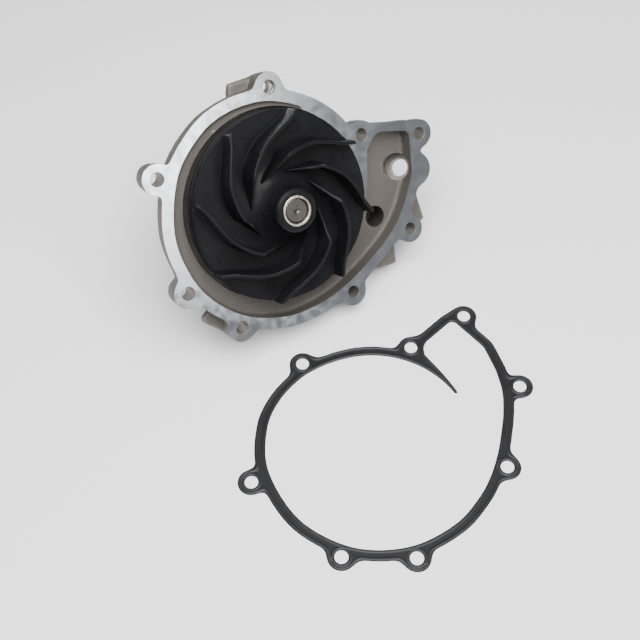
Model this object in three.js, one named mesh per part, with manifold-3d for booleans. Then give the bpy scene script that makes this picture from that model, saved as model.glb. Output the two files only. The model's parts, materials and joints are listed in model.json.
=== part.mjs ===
// Coolant pump with a volute housing, lying on a bench, and its flange gasket beside it.
// Millimetres, +Z up. The pump is modelled in its own frame, with the shaft along +Z, the impeller
// on top and the machined flange face at z = 0, and is then laid down as one group.
import * as THREE from 'three';
import { mergeVertices } from 'three/addons/utils/BufferGeometryUtils.js';
import Module from 'manifold-3d';

const wasm = await Module();
wasm.setup();

// ---------------------------------------------------------------- driving dimensions

// The impeller turns in the recess and passes close to the cutwater arc. Points of the flange and
// of the volute are laid out for one radius of that arc and move outward or inward with it.
const IMPELLER_RADIUS = 64.4;
const RECESS_GAP = 1;
const CUTWATER_GAP = 3;
const LAYOUT_RADIUS = 67.4;
const RECESS_RADIUS = IMPELLER_RADIUS + RECESS_GAP;
const CUTWATER_RADIUS = IMPELLER_RADIUS + CUTWATER_GAP;
const GROWTH = CUTWATER_RADIUS - LAYOUT_RADIUS;

// Flange, gasket and bolt pattern. Each bolt is [radius, angle in degrees] from the shaft axis.
const BOLTS = [
  [78.9, 76.7], [121.2, 63.7], [110.3, 29.8], [89.8, -5.1],
  [86.3, -65.6], [84.8, -97.7], [86.6, -151.8], [77.6, 136.5],
];
const BOLT_HOLE_RADIUS = 4.5;
const BOSS_RADIUS = 9.1;
const BAND_WIDTH = 7.4;
const OUTLINE_FILLET = 7;
const RIM_THICKNESS = 8;
const BOSS_LENGTH = 15;
const GASKET_THICKNESS = 0.9;

// Volute. The cutwater arc is centred on the shaft; the spiral starts at the notch and opens
// counter-clockwise to the outlet pocket.
const CUTWATER_START = 40;
const NOTCH_ANGLE = 116;
const VOLUTE_DEPTH = 11;
const NOTCH_DEPTH = 1.2;
const RECESS_DEPTH = 14;
const WALL = 5.5;
const BACK_WALL = 6;

// Shaft, bearing and seal
const SHAFT_RADIUS = 8.1;
const SHAFT_RECESS = 1;
const CLEARANCE = 0.3;
const BALL_RADIUS = 3.9;
const RACE_WALL = 2.5;
const BEARING_RADIUS = SHAFT_RADIUS + 2 * BALL_RADIUS + 2 * CLEARANCE + RACE_WALL;
const BEARING_LENGTH = 38;
const BALLS_PER_ROW = 7;
const BALL_ROW_INSET = 9;
const CAGE_THICKNESS = 1.5;
const CAGE_HALF_WIDTH = 1.6;
const LIP_SEAL_THICKNESS = 1.4;
const RETAINING_RING_THICKNESS = 1.5;
const SEAL_CUP_RADIUS = SHAFT_RADIUS + 9.4;
const SEAL_CUP_LENGTH = 12;
const SLINGER_SPACE = 4;
const BEARING_FRONT = -(RECESS_DEPTH + SEAL_CUP_LENGTH + SLINGER_SPACE);
const SNOUT_WALL = 6.5;
const RIB_COUNT = 6;
const RIB_THICKNESS = 5;
const RIB_REACH = RECESS_RADIUS + 1.6;
const FIRST_RIB = 25;

// Impeller
const DISC_FRONT = 8.3;
const DISC_THICKNESS = 4;
const RIM_SKIRT = 7.7;
const HUB_FRONT = 30;
const HUB_WALL = 4.4;
const BLADE_COUNT = 8;
const BLADE_THICKNESS = 2.5;
const TIP_HEIGHT = 10.8;
const KINK_SHARE = 0.4197;
const KINK_HEIGHT = 17.5;
const BLADE_CLOCKING = -8.4;
const INSERT_WALL = 2.1;
const HUB_RADIUS = SHAFT_RADIUS + INSERT_WALL + HUB_WALL;

// Pulley and drive hub
const PULLEY_RADIUS = 50;
const PULLEY_WIDTH = 24;
const PULLEY_WALL = 4;
const PULLEY_WEB = 4;
const GROOVE_COUNT = 6;
const GROOVE_DEPTH = 2.2;
const HUB_FLANGE_THICKNESS = 6;
const HUB_BOSS_RADIUS = SHAFT_RADIUS + 6.9;
const PULLEY_BOLT_CIRCLE = HUB_BOSS_RADIUS + 7;
const HUB_FLANGE_RADIUS = PULLEY_BOLT_CIRCLE + 10;
const HUB_GAP = 2.7;
const SNOUT_REAR = BEARING_FRONT - BEARING_LENGTH - 2 * RETAINING_RING_THICKNESS;
const PULLEY_REAR = SNOUT_REAR - HUB_GAP - HUB_FLANGE_THICKNESS - CLEARANCE - PULLEY_WEB;
const PULLEY_BOLT_COUNT = 4;
const PULLEY_BOLT_RADIUS = 4;

// How the pump lies on the bench: the tilt of its axis from upright, the compass heading of the
// axis, and the turn of the housing about its own axis.
const LEAN = 54.9;
const HEADING = -53.8;
const CLOCKING = 23.8;
const GASKET_OFFSET = [63.8, -131.4];
const GASKET_TURN = -7.9;

const ROUND = 40;
const SMALL_ROUND = 18;

// ---------------------------------------------------------------- helpers

const rad = THREE.MathUtils.degToRad;
const polar = (radius, degrees) => new THREE.Vector2(
  radius * Math.cos(rad(degrees)),
  radius * Math.sin(rad(degrees)),
);
const boltCentres = BOLTS.map(([radius, angle]) => polar(radius + GROWTH, angle));

// A laid-out point, moved outward or inward with the cutwater arc
function laid([x, y], more = 1) {
  const point = new THREE.Vector2(x, y);
  return point.setLength(point.length() + more * GROWTH);
}

// A closed three.js geometry as a solid: vertices merged, slivers dropped, faces turned outwards.
function solid(geometry) {
  const bare = geometry.index ? geometry.toNonIndexed() : geometry.clone();
  bare.deleteAttribute('normal');
  bare.deleteAttribute('uv');
  const merged = mergeVertices(bare, 1e-3);
  const place = merged.attributes.position;
  const index = merged.index.array;
  const triangles = [];
  let volume = 0;
  const [a, b, c] = [new THREE.Vector3(), new THREE.Vector3(), new THREE.Vector3()];
  for (let i = 0; i < index.length; i += 3) {
    const [p, q, r] = index.slice(i, i + 3);
    if (p === q || q === r || r === p) continue;
    triangles.push([p, q, r]);
    a.fromBufferAttribute(place, p);
    b.fromBufferAttribute(place, q);
    c.fromBufferAttribute(place, r);
    volume += a.dot(b.cross(c));
  }
  const turned = volume < 0 ? triangles.map(([p, q, r]) => [p, r, q]) : triangles;
  const mesh = new wasm.Mesh({
    numProp: 3,
    vertProperties: new Float32Array(place.array),
    triVerts: new Uint32Array(turned.flat()),
  });
  return new wasm.Manifold(mesh);
}

function geometryOf(manifold) {
  const mesh = manifold.getMesh();
  const geometry = new THREE.BufferGeometry();
  geometry.setAttribute('position', new THREE.BufferAttribute(mesh.vertProperties, 3));
  geometry.setIndex(new THREE.BufferAttribute(mesh.triVerts, 1));
  return geometry;
}

// A prism of a 2-D outline between two heights
function prism(outline, low, high) {
  const shape = new THREE.Shape(outline);
  const geometry = new THREE.ExtrudeGeometry(shape, { depth: high - low, bevelEnabled: false });
  geometry.translate(0, 0, low);
  return solid(geometry);
}

// A solid of revolution about Z; the profile is [radius, height] points
function turned(profile, segments = ROUND) {
  const points = [...profile, profile[0]].map(([r, z]) => new THREE.Vector2(r, z));
  const geometry = new THREE.LatheGeometry(points, segments);
  geometry.rotateX(Math.PI / 2);
  geometry.scale(1, -1, 1);
  return solid(geometry);
}

function cylinder(radius, low, high, x = 0, y = 0, segments = SMALL_ROUND) {
  const geometry = new THREE.CylinderGeometry(radius, radius, high - low, segments);
  geometry.rotateX(Math.PI / 2);
  geometry.translate(x, y, (low + high) / 2);
  return solid(geometry);
}

const ring = (inner, outer, low, high, segments = ROUND) => turned(
  [[inner, low], [outer, low], [outer, high], [inner, high]],
  segments,
);

function hexagon(acrossFlats, low, high) {
  return cylinder(acrossFlats / Math.sqrt(3), low, high, 0, 0, 6);
}

// Distance from a point to a closed outline, negative inside
function distanceTo(outline, x, y) {
  let nearest = Infinity;
  let inside = false;
  for (let i = 0, j = outline.length - 1; i < outline.length; j = i, i += 1) {
    const [a, b] = [outline[j], outline[i]];
    const [ex, ey] = [b.x - a.x, b.y - a.y];
    const along = THREE.MathUtils.clamp(((x - a.x) * ex + (y - a.y) * ey) / (ex * ex + ey * ey), 0, 1);
    nearest = Math.min(nearest, Math.hypot(x - a.x - along * ex, y - a.y - along * ey));
    if ((a.y > y) !== (b.y > y) && x < a.x + ((y - a.y) / ey) * ex) inside = !inside;
  }
  return inside ? -nearest : nearest;
}

// The union of two distances with a fillet in the corner between them
function filletUnion(a, b, fillet) {
  const blend = Math.max(fillet - Math.abs(a - b), 0) / fillet;
  return Math.min(a, b) - (blend * blend * fillet) / 4;
}

// The outline where a distance field is zero, walked cell by cell round a grid
function traceOutline(field, reach, step) {
  const count = Math.ceil((2 * reach) / step);
  const at = (i) => -reach + i * step;
  const value = [];
  for (let j = 0; j <= count; j += 1) {
    value.push(Float64Array.from({ length: count + 1 }, (_, i) => field(at(i), at(j))));
  }
  const crossing = (i, j, across) => {
    const here = value[j][i];
    const there = across ? value[j][i + 1] : value[j + 1][i];
    const share = here / (here - there);
    return new THREE.Vector2(at(i) + (across ? share * step : 0), at(j) + (across ? 0 : share * step));
  };
  const next = new Map();
  const link = (from, to) => next.set(from.join(), { from, to });
  for (let j = 0; j < count; j += 1) {
    for (let i = 0; i < count; i += 1) {
      const corners = [value[j][i], value[j][i + 1], value[j + 1][i + 1], value[j + 1][i]].map((v) => v < 0);
      const edges = [[i, j, 1], [i + 1, j, 0], [i, j + 1, 1], [i, j, 0]];
      const leaving = edges.filter((_, k) => corners[k] && !corners[(k + 1) % 4]);
      const entering = edges.filter((_, k) => !corners[k] && corners[(k + 1) % 4]);
      if (leaving.length === 1) link(leaving[0], entering[0]);
    }
  }
  let loop = [];
  while (next.size > 0) {
    const [key] = next.keys();
    const walk = [];
    for (let k = key; next.has(k);) {
      const { from, to } = next.get(k);
      walk.push(crossing(from[0], from[1], from[2] === 1));
      next.delete(k);
      k = to.join();
    }
    if (walk.length > loop.length) loop = walk;
  }
  return loop;
}

// The same outline with only the points it needs to stay within a tolerance
function simplify(points, tolerance) {
  const keep = (from, to) => {
    let far = 0;
    let split = 0;
    const [a, b] = [points[from], points[to]];
    const length = Math.hypot(b.x - a.x, b.y - a.y) || 1;
    for (let i = from + 1; i < to; i += 1) {
      const p = points[i];
      const off = length > 1e-6 && from !== to
        ? Math.abs((b.x - a.x) * (p.y - a.y) - (b.y - a.y) * (p.x - a.x)) / length
        : p.distanceTo(a);
      if (off > far) [far, split] = [off, i];
    }
    if (far <= tolerance) return [a];
    return [...keep(from, split), ...keep(split, to)];
  };
  const half = Math.floor(points.length / 2);
  return [...keep(0, half), ...keep(half, points.length - 1), points[points.length - 1]];
}

// ---------------------------------------------------------------- outlines

// The pocket that the impeller and the coolant fill: the spiral wall, the outlet pocket with its
// three rounded corners, the thin cutwater tongue and the arc that passes close to the impeller.
const SPIRAL = [
  [67.6, 119], [68.3, 130], [69.6, 144], [71.2, 162], [72.5, 180], [73.6, 204], [74.6, 232], [75.9, 254],
  [77.2, 274], [77.9, 296], [78.4, 318], [79.0, 335], [80.4, 348], [82.5, 360],
];
const OUTLET_WALL = [[84.2, 15], [85.1, 33], [83.6, 50], [78.5, 66]];
const OUTLET_CORNERS = [[69.3, 84], [45.6, 104.4]];
const POCKET_SHOULDER = [25.5, 86];
const GASKET_SHOULDER = [26, 80];
const TONGUE_ROOT = [28.6, 72];
const TONGUE_BACK = [[40, 60.5], [48, 51.5]];
const TONGUE_TIP = [53.6, 44.4];

function cavityOutline(shoulderPoint) {
  const wall = new THREE.SplineCurve([
    ...SPIRAL.map(([radius, angle]) => polar(radius + GROWTH, angle)),
    ...OUTLET_WALL.map((point) => laid(point)),
  ]);
  const rounded = (corner, before, after, radius) => {
    const from = corner.clone().add(before.clone().sub(corner).setLength(radius));
    const to = corner.clone().add(after.clone().sub(corner).setLength(radius));
    return new THREE.QuadraticBezierCurve(from, corner, to).getPoints(4);
  };
  const wallPoints = wall.getPoints(40);
  const [crown, peak, shoulder] = [...OUTLET_CORNERS, shoulderPoint].map((point) => laid(point));
  const root = laid(TONGUE_ROOT);
  const tip = laid(TONGUE_TIP);
  const back = new THREE.SplineCurve([root, ...TONGUE_BACK.map((point) => laid(point)), tip]);
  const arcSteps = 12;
  const arc = Array.from({ length: arcSteps + 1 }, (_, i) => polar(
    CUTWATER_RADIUS,
    THREE.MathUtils.lerp(CUTWATER_START, NOTCH_ANGLE, i / arcSteps),
  ));
  return [
    ...wallPoints,
    ...rounded(crown, wallPoints[wallPoints.length - 1], peak, 3),
    ...rounded(peak, crown, shoulder, 5),
    ...rounded(shoulder, peak, root, 6),
    ...back.getPoints(6),
    ...arc,
  ];
}

const cavity = cavityOutline(POCKET_SHOULDER);
const gasketOpening = cavityOutline(GASKET_SHOULDER);
const outlineReach = Math.max(...BOLTS.map(([radius]) => radius)) + GROWTH + BOSS_RADIUS + 3 * BAND_WIDTH;
const OUTLINE_STEP = 1.6;
const OUTLINE_TOLERANCE = 0.16;

// The band round an opening, joined to the boss of each bolt
function bandField(opening, x, y) {
  let distance = distanceTo(opening, x, y) - BAND_WIDTH;
  for (const centre of boltCentres) {
    distance = filletUnion(distance, Math.hypot(x - centre.x, y - centre.y) - BOSS_RADIUS, OUTLINE_FILLET);
  }
  return distance;
}

// The flange is that band with one more swelling, over the inclined port
const PORT_SWELLING = { ...laid([69.5, 88.5]), radius: 11.5 };
const swellingField = (x, y) => Math.hypot(x - PORT_SWELLING.x, y - PORT_SWELLING.y) - PORT_SWELLING.radius;
const flangeField = (x, y) => filletUnion(
  bandField(gasketOpening, x, y),
  swellingField(x, y),
  OUTLINE_FILLET / 2,
);

const outline = (field) => simplify(traceOutline(field, outlineReach, OUTLINE_STEP), OUTLINE_TOLERANCE);
const gasketOutline = outline((x, y) => bandField(gasketOpening, x, y));
const flangeOutline = outline(flangeField);
const shellOutline = outline((x, y) => distanceTo(cavity, x, y) - WALL);

// ---------------------------------------------------------------- pose on the bench

// The bench plane seen from the pump: the pulley rim rests on it, which sets the height of the
// pump's own origin, and the height of any point of the pump follows.
const restHeight = PULLEY_RADIUS * Math.sin(rad(LEAN)) - PULLEY_REAR * Math.cos(rad(LEAN));
const downhill = polar(1, -CLOCKING);
// How far behind the flange a post at (x, y), of the given radius, has to reach to touch the bench
function reachBench(x, y, radius) {
  const outward = x * downhill.x + y * downhill.y + radius;
  return (outward * Math.sin(rad(LEAN)) - restHeight) / Math.cos(rad(LEAN));
}

// ---------------------------------------------------------------- housing

const backFace = -(RECESS_DEPTH + BACK_WALL);
const bearingRear = BEARING_FRONT - BEARING_LENGTH;
const snoutRadius = BEARING_RADIUS + SNOUT_WALL;
const snoutRear = SNOUT_REAR;
const ribRear = bearingRear + 12;
const sealSeat = -RECESS_DEPTH;
const sealBoreRear = sealSeat - SEAL_CUP_LENGTH;
const WEEP_RADIUS = 3;
const WEEP_BOSS_RADIUS = 6;
const WEEP_BOSS_END = 50;
const WEEP_ANGLE = -55;
const weepHeight = (sealBoreRear + BEARING_FRONT) / 2;

// The floor of the volute is a ramp: shallow at the notch, full depth at the outlet
const voluteDepthAt = (angle) => THREE.MathUtils.mapLinear(
  Math.min(angle, 360),
  NOTCH_ANGLE,
  360,
  NOTCH_DEPTH,
  VOLUTE_DEPTH,
);

// A ring-shaped solid whose floor follows the ramp, with a flat wall at each end
function rampSolid() {
  const inner = RECESS_RADIUS - 8;
  const outer = outlineReach;
  const lid = 2;
  const end = 360 + 75;
  const steps = 24;
  const corners = [];
  for (let i = 0; i <= steps; i += 1) {
    const angle = THREE.MathUtils.lerp(NOTCH_ANGLE, end, i / steps);
    const [near, far] = [polar(inner, angle), polar(outer, angle)];
    const floor = -voluteDepthAt(angle);
    corners.push([near.x, near.y, floor], [far.x, far.y, floor], [far.x, far.y, lid], [near.x, near.y, lid]);
  }
  const faces = [0, 1, 2, 0, 2, 3];
  const last = steps * 4;
  faces.push(last, last + 2, last + 1, last, last + 3, last + 2);
  for (let i = 0; i < last; i += 4) {
    for (let k = 0; k < 4; k += 1) {
      const m = (k + 1) % 4;
      faces.push(i + k, i + 4 + k, i + m, i + m, i + 4 + k, i + 4 + m);
    }
  }
  const geometry = new THREE.BufferGeometry();
  geometry.setAttribute('position', new THREE.Float32BufferAttribute(corners.flat(), 3));
  geometry.setIndex(faces);
  return solid(geometry);
}

// Cast lugs behind the flange. Each is an outline and how far back it runs.
const LUG_FRONT = -12;
const LUG_BACK = -18;
const TAB_BACK = -16;
const CORNER_LUG = [[84, 20], [99, 17], [110.4, 32], [99, 41], [84, 44]];
const lugCorner = laid(CORNER_LUG[2]);
const LUGS = [
  { outline: [[80, 70], [72, 90], [88, 80], [106.5, 71], [105.5, 68], [96, 58]], back: LUG_BACK },
  { outline: CORNER_LUG, back: reachBench(lugCorner.x, lugCorner.y, 0) },
  { outline: [[12.5, -72], [12.8, -90], [16, -91.8], [38, -86.5], [36, -72]], back: TAB_BACK },
  { outline: [[-60, 30], [-71, 33], [-75, 38.5], [-65, 55], [-50, 48]], back: TAB_BACK },
];

// A round bracket boss behind the volute, which also steadies the pump on the bench
const BRACKET_BOSS = { radius: 80.4, angle: -34.9, size: 10, hole: 3.4, holeDepth: 16 };
const bracketCentre = polar(BRACKET_BOSS.radius + GROWTH - BRACKET_BOSS.size / 2, BRACKET_BOSS.angle);
const bracketRear = reachBench(bracketCentre.x, bracketCentre.y, BRACKET_BOSS.size);

// Ports in the outlet pocket: an inclined one through the swelling and a straight blind one
const PORT = { ...laid([61, 83]), radius: 9.6, throat: 6.6, start: -18, step: 12, length: 60 };
const PORT_WALL = 3;
const PORT_BOSS_START = 4;
const PORT_SLOPE = new THREE.Vector3(0.573, 0.327, -0.751).normalize();
const SWELLING_REAR = -36;
const BYPASS = { ...laid([72, 45.5]), radius: 7.7, rear: -34, wall: 4 };

function inclinedCylinder(radius, from, to) {
  const length = to - from;
  const geometry = new THREE.CylinderGeometry(radius, radius, length, SMALL_ROUND);
  const turn = new THREE.Quaternion().setFromUnitVectors(new THREE.Vector3(0, 1, 0), PORT_SLOPE);
  geometry.applyQuaternion(turn);
  const mouth = new THREE.Vector3(PORT.x, PORT.y, -VOLUTE_DEPTH);
  const middle = mouth.addScaledVector(PORT_SLOPE, (from + to) / 2);
  geometry.translate(middle.x, middle.y, middle.z);
  return solid(geometry);
}

const SNOUT_FOOT = 46;
const SNOUT_FLARE = 6;
function snout() {
  return turned([
    [0, backFace + 1], [SNOUT_FOOT, backFace + 1], [SNOUT_FOOT, backFace - 3],
    [snoutRadius + SNOUT_FLARE, backFace - 8], [snoutRadius, backFace - 16], [snoutRadius, snoutRear],
    [0, snoutRear],
  ], 36);
}

function rib(angle) {
  const side = new THREE.Shape([
    new THREE.Vector2(snoutRadius - 3, backFace + 1),
    new THREE.Vector2(RIB_REACH, backFace + 1),
    new THREE.Vector2(RIB_REACH, backFace - 3),
    new THREE.Vector2(snoutRadius - 1, ribRear),
    new THREE.Vector2(snoutRadius - 3, ribRear),
  ]);
  const geometry = new THREE.ExtrudeGeometry(side, { depth: RIB_THICKNESS, bevelEnabled: false });
  geometry.translate(0, 0, -RIB_THICKNESS / 2);
  geometry.rotateX(Math.PI / 2);
  geometry.rotateZ(rad(angle));
  return solid(geometry);
}

function pumpHousing() {
  let body = prism(flangeOutline, -RIM_THICKNESS, 0);
  for (const { x, y } of boltCentres) body = body.add(cylinder(BOSS_RADIUS, -BOSS_LENGTH, -1, x, y));
  body = body.add(prism(shellOutline, -(VOLUTE_DEPTH + BACK_WALL), -1));
  body = body.add(cylinder(RECESS_RADIUS + WALL, backFace, -1, 0, 0, ROUND));
  body = body.add(snout());
  for (let i = 0; i < RIB_COUNT; i += 1) body = body.add(rib((i * 360) / RIB_COUNT + FIRST_RIB));
  for (const { outline: points, back } of LUGS) {
    body = body.add(prism(points.map((point) => laid(point)), back, LUG_FRONT));
  }
  body = body.add(cylinder(BRACKET_BOSS.size, bracketRear, -RIM_THICKNESS, bracketCentre.x, bracketCentre.y));
  body = body.add(cylinder(PORT_SWELLING.radius + 1, SWELLING_REAR, -1, PORT_SWELLING.x, PORT_SWELLING.y));
  body = body.add(inclinedCylinder(PORT.radius + PORT_WALL, PORT_BOSS_START, PORT.step + PORT_WALL));
  body = body.add(cylinder(BYPASS.radius + BYPASS.wall, BYPASS.rear, -VOLUTE_DEPTH - 1, BYPASS.x, BYPASS.y));
  body = body.add(weepDrill(WEEP_BOSS_RADIUS, BEARING_RADIUS, WEEP_BOSS_END, 16));

  body = body.subtract(prism(cavity, -VOLUTE_DEPTH, 1).intersect(rampSolid()));
  body = body.subtract(cylinder(RECESS_RADIUS, sealSeat, 1, 0, 0, ROUND));
  for (const { x, y } of boltCentres) {
    body = body.subtract(cylinder(BOLT_HOLE_RADIUS, -BOSS_LENGTH - 30, 1, x, y, 16));
  }
  const sleeveHole = boltCentres[SLEEVE_HOLE];
  const sleeveRear = SLEEVE_TOP - SLEEVE_LENGTH;
  body = body.subtract(cylinder(SLEEVE_RADIUS, sleeveRear, SLEEVE_TOP, sleeveHole.x, sleeveHole.y, 16));
  body = body.subtract(cylinder(SEAL_CUP_RADIUS + CLEARANCE, sealBoreRear, 1, 0, 0, ROUND));
  body = body.subtract(cylinder(BEARING_RADIUS - 3, BEARING_FRONT - 1, 1, 0, 0, ROUND));
  body = body.subtract(cylinder(BEARING_RADIUS + CLEARANCE, snoutRear - 1, BEARING_FRONT, 0, 0, ROUND));
  body = body.subtract(ring(
    BEARING_RADIUS - 1,
    BEARING_RADIUS + 2,
    bearingRear - CLEARANCE - RETAINING_RING_THICKNESS - CLEARANCE,
    bearingRear - CLEARANCE,
  ));
  body = body.subtract(inclinedCylinder(PORT.radius, PORT.start, PORT.step));
  body = body.subtract(inclinedCylinder(PORT.throat, 0, PORT.length));
  body = body.subtract(cylinder(BYPASS.radius, BYPASS.rear + BYPASS.wall, 1 - VOLUTE_DEPTH, BYPASS.x, BYPASS.y));
  const boltDepth = bracketRear + BRACKET_BOSS.holeDepth;
  body = body.subtract(cylinder(BRACKET_BOSS.hole, bracketRear - 1, boltDepth, bracketCentre.x, bracketCentre.y, 12));
  return body.subtract(weepDrill(WEEP_RADIUS, BEARING_RADIUS - 5, WEEP_BOSS_END + 1));
}

// The weep hole runs radially out of the chamber between the seal and the bearing
function weepDrill(radius, from, to, segments = 12) {
  const geometry = new THREE.CylinderGeometry(radius, radius, to - from, segments);
  geometry.rotateZ(Math.PI / 2);
  geometry.translate((from + to) / 2, 0, 0);
  geometry.rotateZ(rad(WEEP_ANGLE));
  geometry.translate(0, 0, weepHeight);
  return solid(geometry);
}

// ---------------------------------------------------------------- small pieces of the housing

const SLEEVE_RADIUS = 5.3;
const SLEEVE_LENGTH = 7;
const SLEEVE_WALL = 0.8;
const SLEEVE_TOP = -2;
const SLEEVE_HOLE = 7;

function dowelSleeve() {
  const { x, y } = boltCentres[SLEEVE_HOLE];
  const top = SLEEVE_TOP - CLEARANCE;
  const sleeve = cylinder(SLEEVE_RADIUS - CLEARANCE, top - SLEEVE_LENGTH + 1, top, x, y, 16);
  return sleeve.subtract(cylinder(SLEEVE_RADIUS - CLEARANCE - SLEEVE_WALL, top - 20, top + 1, x, y, 16));
}

const WEEP_CAP_HEAD = 5;
const WEEP_CAP_STEM = 8;
const WEEP_CAP_HEIGHT = 2;
const WEEP_CAP_WALL = 1.2;
function weepCap() {
  const seat = WEEP_BOSS_END + CLEARANCE;
  const stem = weepDrill(WEEP_RADIUS - CLEARANCE, seat - WEEP_CAP_STEM, seat + 1);
  const bore = weepDrill(WEEP_RADIUS - CLEARANCE - WEEP_CAP_WALL, seat - WEEP_CAP_STEM - 1, seat);
  return stem.add(weepDrill(WEEP_CAP_HEAD, seat, seat + WEEP_CAP_HEIGHT)).subtract(bore);
}

// ---------------------------------------------------------------- shaft, bearing and seal

const hubFlangeFront = PULLEY_REAR + PULLEY_WEB + CLEARANCE + HUB_FLANGE_THICKNESS;
const shaftRear = PULLEY_REAR - 2;
const CENTRE_DRILL = 2;
const ballPitch = SHAFT_RADIUS + CLEARANCE + BALL_RADIUS;
const outerRace = ballPitch + BALL_RADIUS + CLEARANCE;
const ballRows = [BEARING_FRONT - BALL_ROW_INSET, bearingRear + BALL_ROW_INSET];

function pumpShaft() {
  const top = HUB_FRONT - SHAFT_RECESS;
  const chamfer = 0.8;
  return turned([
    [0, shaftRear], [SHAFT_RADIUS - chamfer, shaftRear], [SHAFT_RADIUS, shaftRear + chamfer],
    [SHAFT_RADIUS, top - chamfer], [SHAFT_RADIUS - chamfer, top], [CENTRE_DRILL, top],
    [0, top - CENTRE_DRILL],
  ], 28);
}

const bearingOuterRing = () => ring(outerRace, BEARING_RADIUS, bearingRear, BEARING_FRONT, 36);
function lipSeal(row) {
  const inset = 0.5;
  const low = row === 0 ? BEARING_FRONT - inset - LIP_SEAL_THICKNESS : bearingRear + inset;
  return ring(SHAFT_RADIUS + CLEARANCE, outerRace - CLEARANCE, low, low + LIP_SEAL_THICKNESS, 28);
}
function cage(row) {
  const towardsMiddle = row === 0 ? -1 : 1;
  const near = ballRows[row] + towardsMiddle * (BALL_RADIUS + CLEARANCE);
  const far = near + towardsMiddle * CAGE_THICKNESS;
  const [low, high] = [Math.min(near, far), Math.max(near, far)];
  return ring(ballPitch - CAGE_HALF_WIDTH, ballPitch + CAGE_HALF_WIDTH, low, high, SMALL_ROUND);
}
function ball(row, number) {
  const centre = polar(ballPitch, (number * 360) / BALLS_PER_ROW + row * 20);
  const geometry = new THREE.SphereGeometry(BALL_RADIUS, 8, 6);
  geometry.translate(centre.x, centre.y, ballRows[row]);
  return solid(geometry);
}

// A spring ring with a gap, in the groove behind the bearing
function retainingRing() {
  const top = bearingRear - 2 * CLEARANCE;
  const full = ring(outerRace + 1.2, BEARING_RADIUS + 2 - CLEARANCE, top - RETAINING_RING_THICKNESS + CLEARANCE, top);
  const gap = new THREE.BoxGeometry(12, 7, 6);
  gap.translate(BEARING_RADIUS, 0, top);
  return full.subtract(solid(gap));
}

const CUP_SHEET = 1;
const sealCupRear = sealBoreRear + CLEARANCE;
function sealCup() {
  const flange = SEAL_CUP_RADIUS + 3;
  const low = sealSeat + CLEARANCE;
  const inside = SHAFT_RADIUS + 1.6;
  return turned([
    [inside, sealCupRear], [SEAL_CUP_RADIUS, sealCupRear], [SEAL_CUP_RADIUS, low], [flange, low],
    [flange, low + CUP_SHEET], [SEAL_CUP_RADIUS - CUP_SHEET, low + CUP_SHEET],
    [SEAL_CUP_RADIUS - CUP_SHEET, sealCupRear + CUP_SHEET], [inside + CUP_SHEET, sealCupRear + CUP_SHEET],
    [inside + CUP_SHEET, low - 3], [inside, low - 3],
  ], 28);
}

const carbonFront = -8.6;
const CARBON_LENGTH = 4;
const CARBON_RADIUS = SHAFT_RADIUS + 4.9;
const BELLOWS_RADIUS = SHAFT_RADIUS + 4.5;
const BELLOWS_WALL = 1.4;
const MATING_RING_RADIUS = SHAFT_RADIUS + 5.3;
const MATING_RING_LENGTH = 3;
const sealCarbonRing = () => ring(
  SHAFT_RADIUS + 0.8,
  CARBON_RADIUS,
  carbonFront - CARBON_LENGTH,
  carbonFront,
  28,
);
const sealBellows = () => ring(
  BELLOWS_RADIUS - BELLOWS_WALL,
  BELLOWS_RADIUS,
  sealCupRear + CUP_SHEET + CLEARANCE,
  carbonFront - CARBON_LENGTH - CLEARANCE,
  28,
);
const matingRingLow = carbonFront + CLEARANCE;
const impellerBack = matingRingLow + MATING_RING_LENGTH + 2 * CLEARANCE;
const sealMatingRing = () => ring(
  SHAFT_RADIUS + CLEARANCE,
  MATING_RING_RADIUS,
  matingRingLow,
  impellerBack - CLEARANCE,
  28,
);

// The spring stands in the cup, between the cup's wall and the bellows
function sealSpring() {
  const turns = 4;
  const wire = 0.7;
  const low = sealCupRear + CUP_SHEET + wire + CLEARANCE;
  const high = carbonFront - CARBON_LENGTH - wire - CLEARANCE;
  const mean = (BELLOWS_RADIUS + SEAL_CUP_RADIUS - CUP_SHEET) / 2;
  class Helix extends THREE.Curve {
    getPoint(t, target = new THREE.Vector3()) {
      const angle = 2 * Math.PI * turns * t;
      return target.set(mean * Math.cos(angle), mean * Math.sin(angle), THREE.MathUtils.lerp(low, high, t));
    }
  }
  const section = new THREE.Shape(Array.from({ length: 5 }, (_, i) => polar(wire, i * 72)));
  return solid(new THREE.ExtrudeGeometry(section, { steps: 44, extrudePath: new Helix() }));
}

// A thin dished ring on the shaft that throws leaked coolant out towards the weep hole
const SLINGER_RADIUS = SHAFT_RADIUS + 5.9;
const SLINGER_THICKNESS = 1.2;
const slinger = () => ring(
  SHAFT_RADIUS + CLEARANCE,
  SLINGER_RADIUS,
  weepHeight - SLINGER_THICKNESS / 2,
  weepHeight + SLINGER_THICKNESS / 2,
  28,
);

// ---------------------------------------------------------------- impeller

const insertRadius = SHAFT_RADIUS + INSERT_WALL;
const discBack = DISC_FRONT - DISC_THICKNESS;

function impellerInsert() {
  const chamfer = 0.5;
  const inside = SHAFT_RADIUS + CLEARANCE;
  return turned([
    [inside, impellerBack], [insertRadius, impellerBack], [insertRadius, HUB_FRONT - chamfer],
    [insertRadius - chamfer, HUB_FRONT], [inside, HUB_FRONT],
  ], 32);
}

// The plan line of a blade, [share of the way from hub to rim, degrees swept ahead of the tip]
const fromHub = (share) => THREE.MathUtils.lerp(HUB_RADIUS, IMPELLER_RADIUS, share);
const BLADE_END = 0.1888;
const EDGE_MIDDLE = 0.2711;
const BLADE_LINE = [
  [1.006, 0.6], [0.8574, 6.5], [0.751, 15], [0.6305, 29.5], [0.51, 44], [0.4237, 56], [0.3414, 63],
  [0.2731, 71.9], [0.2209, 83], [BLADE_END, 96],
];
const BLADE_TAPER_START = 5 / 9;
const BLADE_TAPER = 1.9;

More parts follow.
